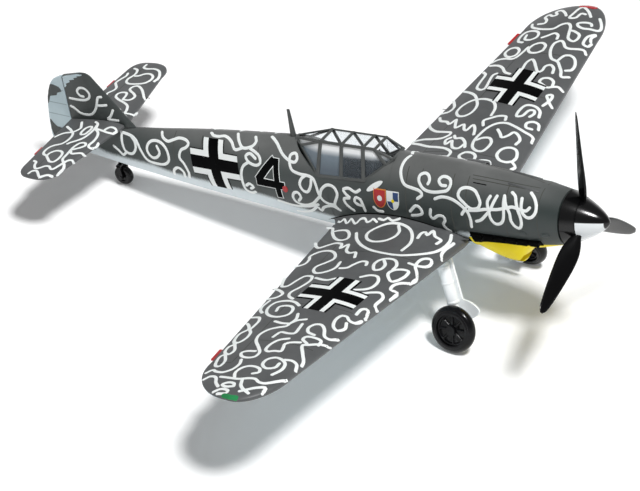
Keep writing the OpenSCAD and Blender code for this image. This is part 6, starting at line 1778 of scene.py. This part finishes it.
# %% Ragged paint on fin and rudder: rows of height, front station and rear station
FIN_CORNER = [[10.9, 97.45, 97.5], [11.3, 97.0, 97.5], [11.65, 97.1, 97.5], [12.1, 96.1, 97.5],
              [12.4, 96.3, 97.45], [12.7, 95.1, 97.45], [12.95, 95.3, 97.45], [13.2, 94.3, 96.75],
              [13.35, 94.6, 96.1], [13.55, 93.5, 95.2], [13.74, 93.4, 94.35]]
DARK_TOP = [[7.2, 101.95, 102.05], [8.0, 101.5, 101.9], [8.7, 101.2, 101.7], [9.1, 99.7, 101.5],
            [9.6, 99.4, 101.35], [10.0, 98.4, 101.15], [10.4, 98.5, 100.95], [10.8, 98.9, 100.75],
            [11.0, 99.9, 100.6]]
DARK_FOOT = [[-0.7, 97.8, 101.0], [0.4, 97.8, 102.4], [1.6, 97.8, 102.6], [2.2, 98.0, 102.7],
             [2.6, 99.4, 102.65], [3.0, 101.4, 102.6], [3.6, 102.0, 102.6], [4.1, 102.3, 102.5]]
for name, side in SIDES:
    between(fin_skin(side), FIN_CORNER, 0.03, f"fin_pale_corner_{name}", blue_spray, "pale_blue")
    between(rudder_skin(side), DARK_TOP, 0.03, f"rudder_dark_top_{name}", fin_spray, "camouflage_grey")
    between(rudder_skin(side), DARK_FOOT, 0.03, f"rudder_dark_foot_{name}", fin_spray, "camouflage_grey")


# %% [markdown]
# ## Floor, light and camera
#
# A catalogue view: a white sheet under the model, one soft lamp a little off the vertical, and an even white
# surround. Together they light an upward face at a level of about one, so paints come out much as written.

# %% White floor
FLOOR_LIFT, FLOOR_HALF, FLOOR_Z = 0.07, 4, float(CAD_BOX[0][2])


def white_paper():
    """White paper with a faint fibre, and a little light of its own for what sees it straight, mirrored or
    through a pane, which lights nothing else."""
    material = bpy.data.materials.new("backdrop_white_paper")
    material.use_nodes = True
    tree = material.node_tree
    tree.nodes.clear()
    coords = add(tree, "TexCoord").outputs["Object"]
    fibre = add(tree, "TexNoise", {"Vector": coords, "Scale": 400.0, "Detail": 3.0}).outputs["Fac"]
    tint = add(tree, "Mix", {0: fibre, 6: hue("#FFFFFF"), 7: hue("#FCFCFC")}, data_type="RGBA").outputs[2]
    paper = add(tree, "BsdfDiffuse", {"Color": tint})
    path = add(tree, "LightPath")
    seen = add(tree, "Math", {0: path.outputs["Is Camera Ray"], 1: path.outputs["Is Glossy Ray"]},
               operation="MAXIMUM")
    seen = add(tree, "Math", {0: seen, 1: path.outputs["Is Transmission Ray"]}, operation="MAXIMUM")
    glow = add(tree, "Math", {0: seen, 1: FLOOR_LIFT}, operation="MULTIPLY")
    light = add(tree, "Emission", {"Strength": glow})
    both = add(tree, "AddShader", {0: paper, 1: light})
    add(tree, "OutputMaterial", {"Surface": both})
    return material


sheet = bpy.data.meshes.new("floor_sheet")
sheet.from_pydata([(x * FLOOR_HALF, y * FLOOR_HALF, FLOOR_Z) for x, y in ((-1, -1), (1, -1), (1, 1), (-1, 1))],
                  [], [(0, 1, 2, 3)])
sheet.materials.append(white_paper())
floor = bpy.data.objects.new("floor_sheet", sheet)
bpy.context.scene.collection.objects.link(floor)

# %% Surround and lamp: the sky's and lamp's levels, and in degrees the lamp's angle, tilt and heading
SKY, LAMP, LAMP_ANGLE, LAMP_TILT, LAMP_HEADING = 0.24, 0.9, 11, 22, 70
MIRRORED_LOW, MIRRORED_HIGH = 1.0, 0.22
world = bpy.data.worlds.new("white_surround")
bpy.context.scene.world = world
world.use_nodes = True
tree = world.node_tree
tree.nodes.clear()
path = add(tree, "LightPath")
seen = add(tree, "Math", {0: path.outputs["Is Camera Ray"], 1: path.outputs["Is Transmission Ray"]},
           operation="MAXIMUM")
# A reflection sees a white horizon that darkens upward, so gloss black stays black but has its highlights.
high = add(tree, "SeparateXYZ", {0: add(tree, "TexCoord").outputs["Generated"]}).outputs[2]
mirrored = add(tree, "MapRange", {"Value": high, "From Min": 0.05, "From Max": 0.4,
                                  "To Min": MIRRORED_LOW, "To Max": MIRRORED_HIGH})
plain = add(tree, "Mix", {0: path.outputs["Is Glossy Ray"], 2: SKY, 3: mirrored})
level = add(tree, "Mix", {0: seen, 2: plain, 3: 1.0})
sky = add(tree, "Background", {"Color": hue("#FFFFFF"), "Strength": level})
add(tree, "OutputWorld", {"Surface": sky})

lamp = bpy.data.lights.new("overhead_softbox", "SUN")
lamp.energy = math.pi * LAMP
lamp.angle = math.radians(LAMP_ANGLE)
softbox = bpy.data.objects.new("overhead_softbox", lamp)
softbox.rotation_euler = (math.radians(LAMP_TILT), 0, math.radians(LAMP_HEADING))
bpy.context.scene.collection.objects.link(softbox)

# %% Camera: its station, side and height in mm, then degrees, then the lens in mm on a 36 mm sensor
CAMERA_AT = (-234.13, -375.12, 275.87)
AZIMUTH, ELEVATION, ROLL, LENS, SENSOR = 31.395, 37.536, -1.806, 196.35, 36.0


def aim(azimuth, elevation, roll):
    """Camera axes: back points from the model to the camera, right lies level and is then rolled, and up is
    square to both."""
    a, e, r = (math.radians(v) for v in (azimuth, elevation, roll))
    back = np.array([math.sin(a) * math.cos(e), -math.cos(a) * math.cos(e), math.sin(e)])
    level = np.array([math.cos(a), math.sin(a), 0.0])
    right = level * math.cos(r) + np.cross(back, level) * math.sin(r)
    return np.stack([right, np.cross(back, right), back], 1)


from mathutils import Matrix

lens = bpy.data.cameras.new("catalogue_camera")
lens.lens, lens.sensor_width, lens.clip_start, lens.clip_end = LENS, SENSOR, 0.01, 20.0
camera = bpy.data.objects.new("catalogue_camera", lens)
turn = Matrix(aim(AZIMUTH, ELEVATION, ROLL).tolist()).to_4x4()
camera.matrix_world = Matrix.Translation(place(CAMERA_AT)) @ turn
bpy.context.scene.collection.objects.link(camera)
bpy.context.scene.camera = camera
bpy.context.scene.view_settings.view_transform = "Standard"

import json
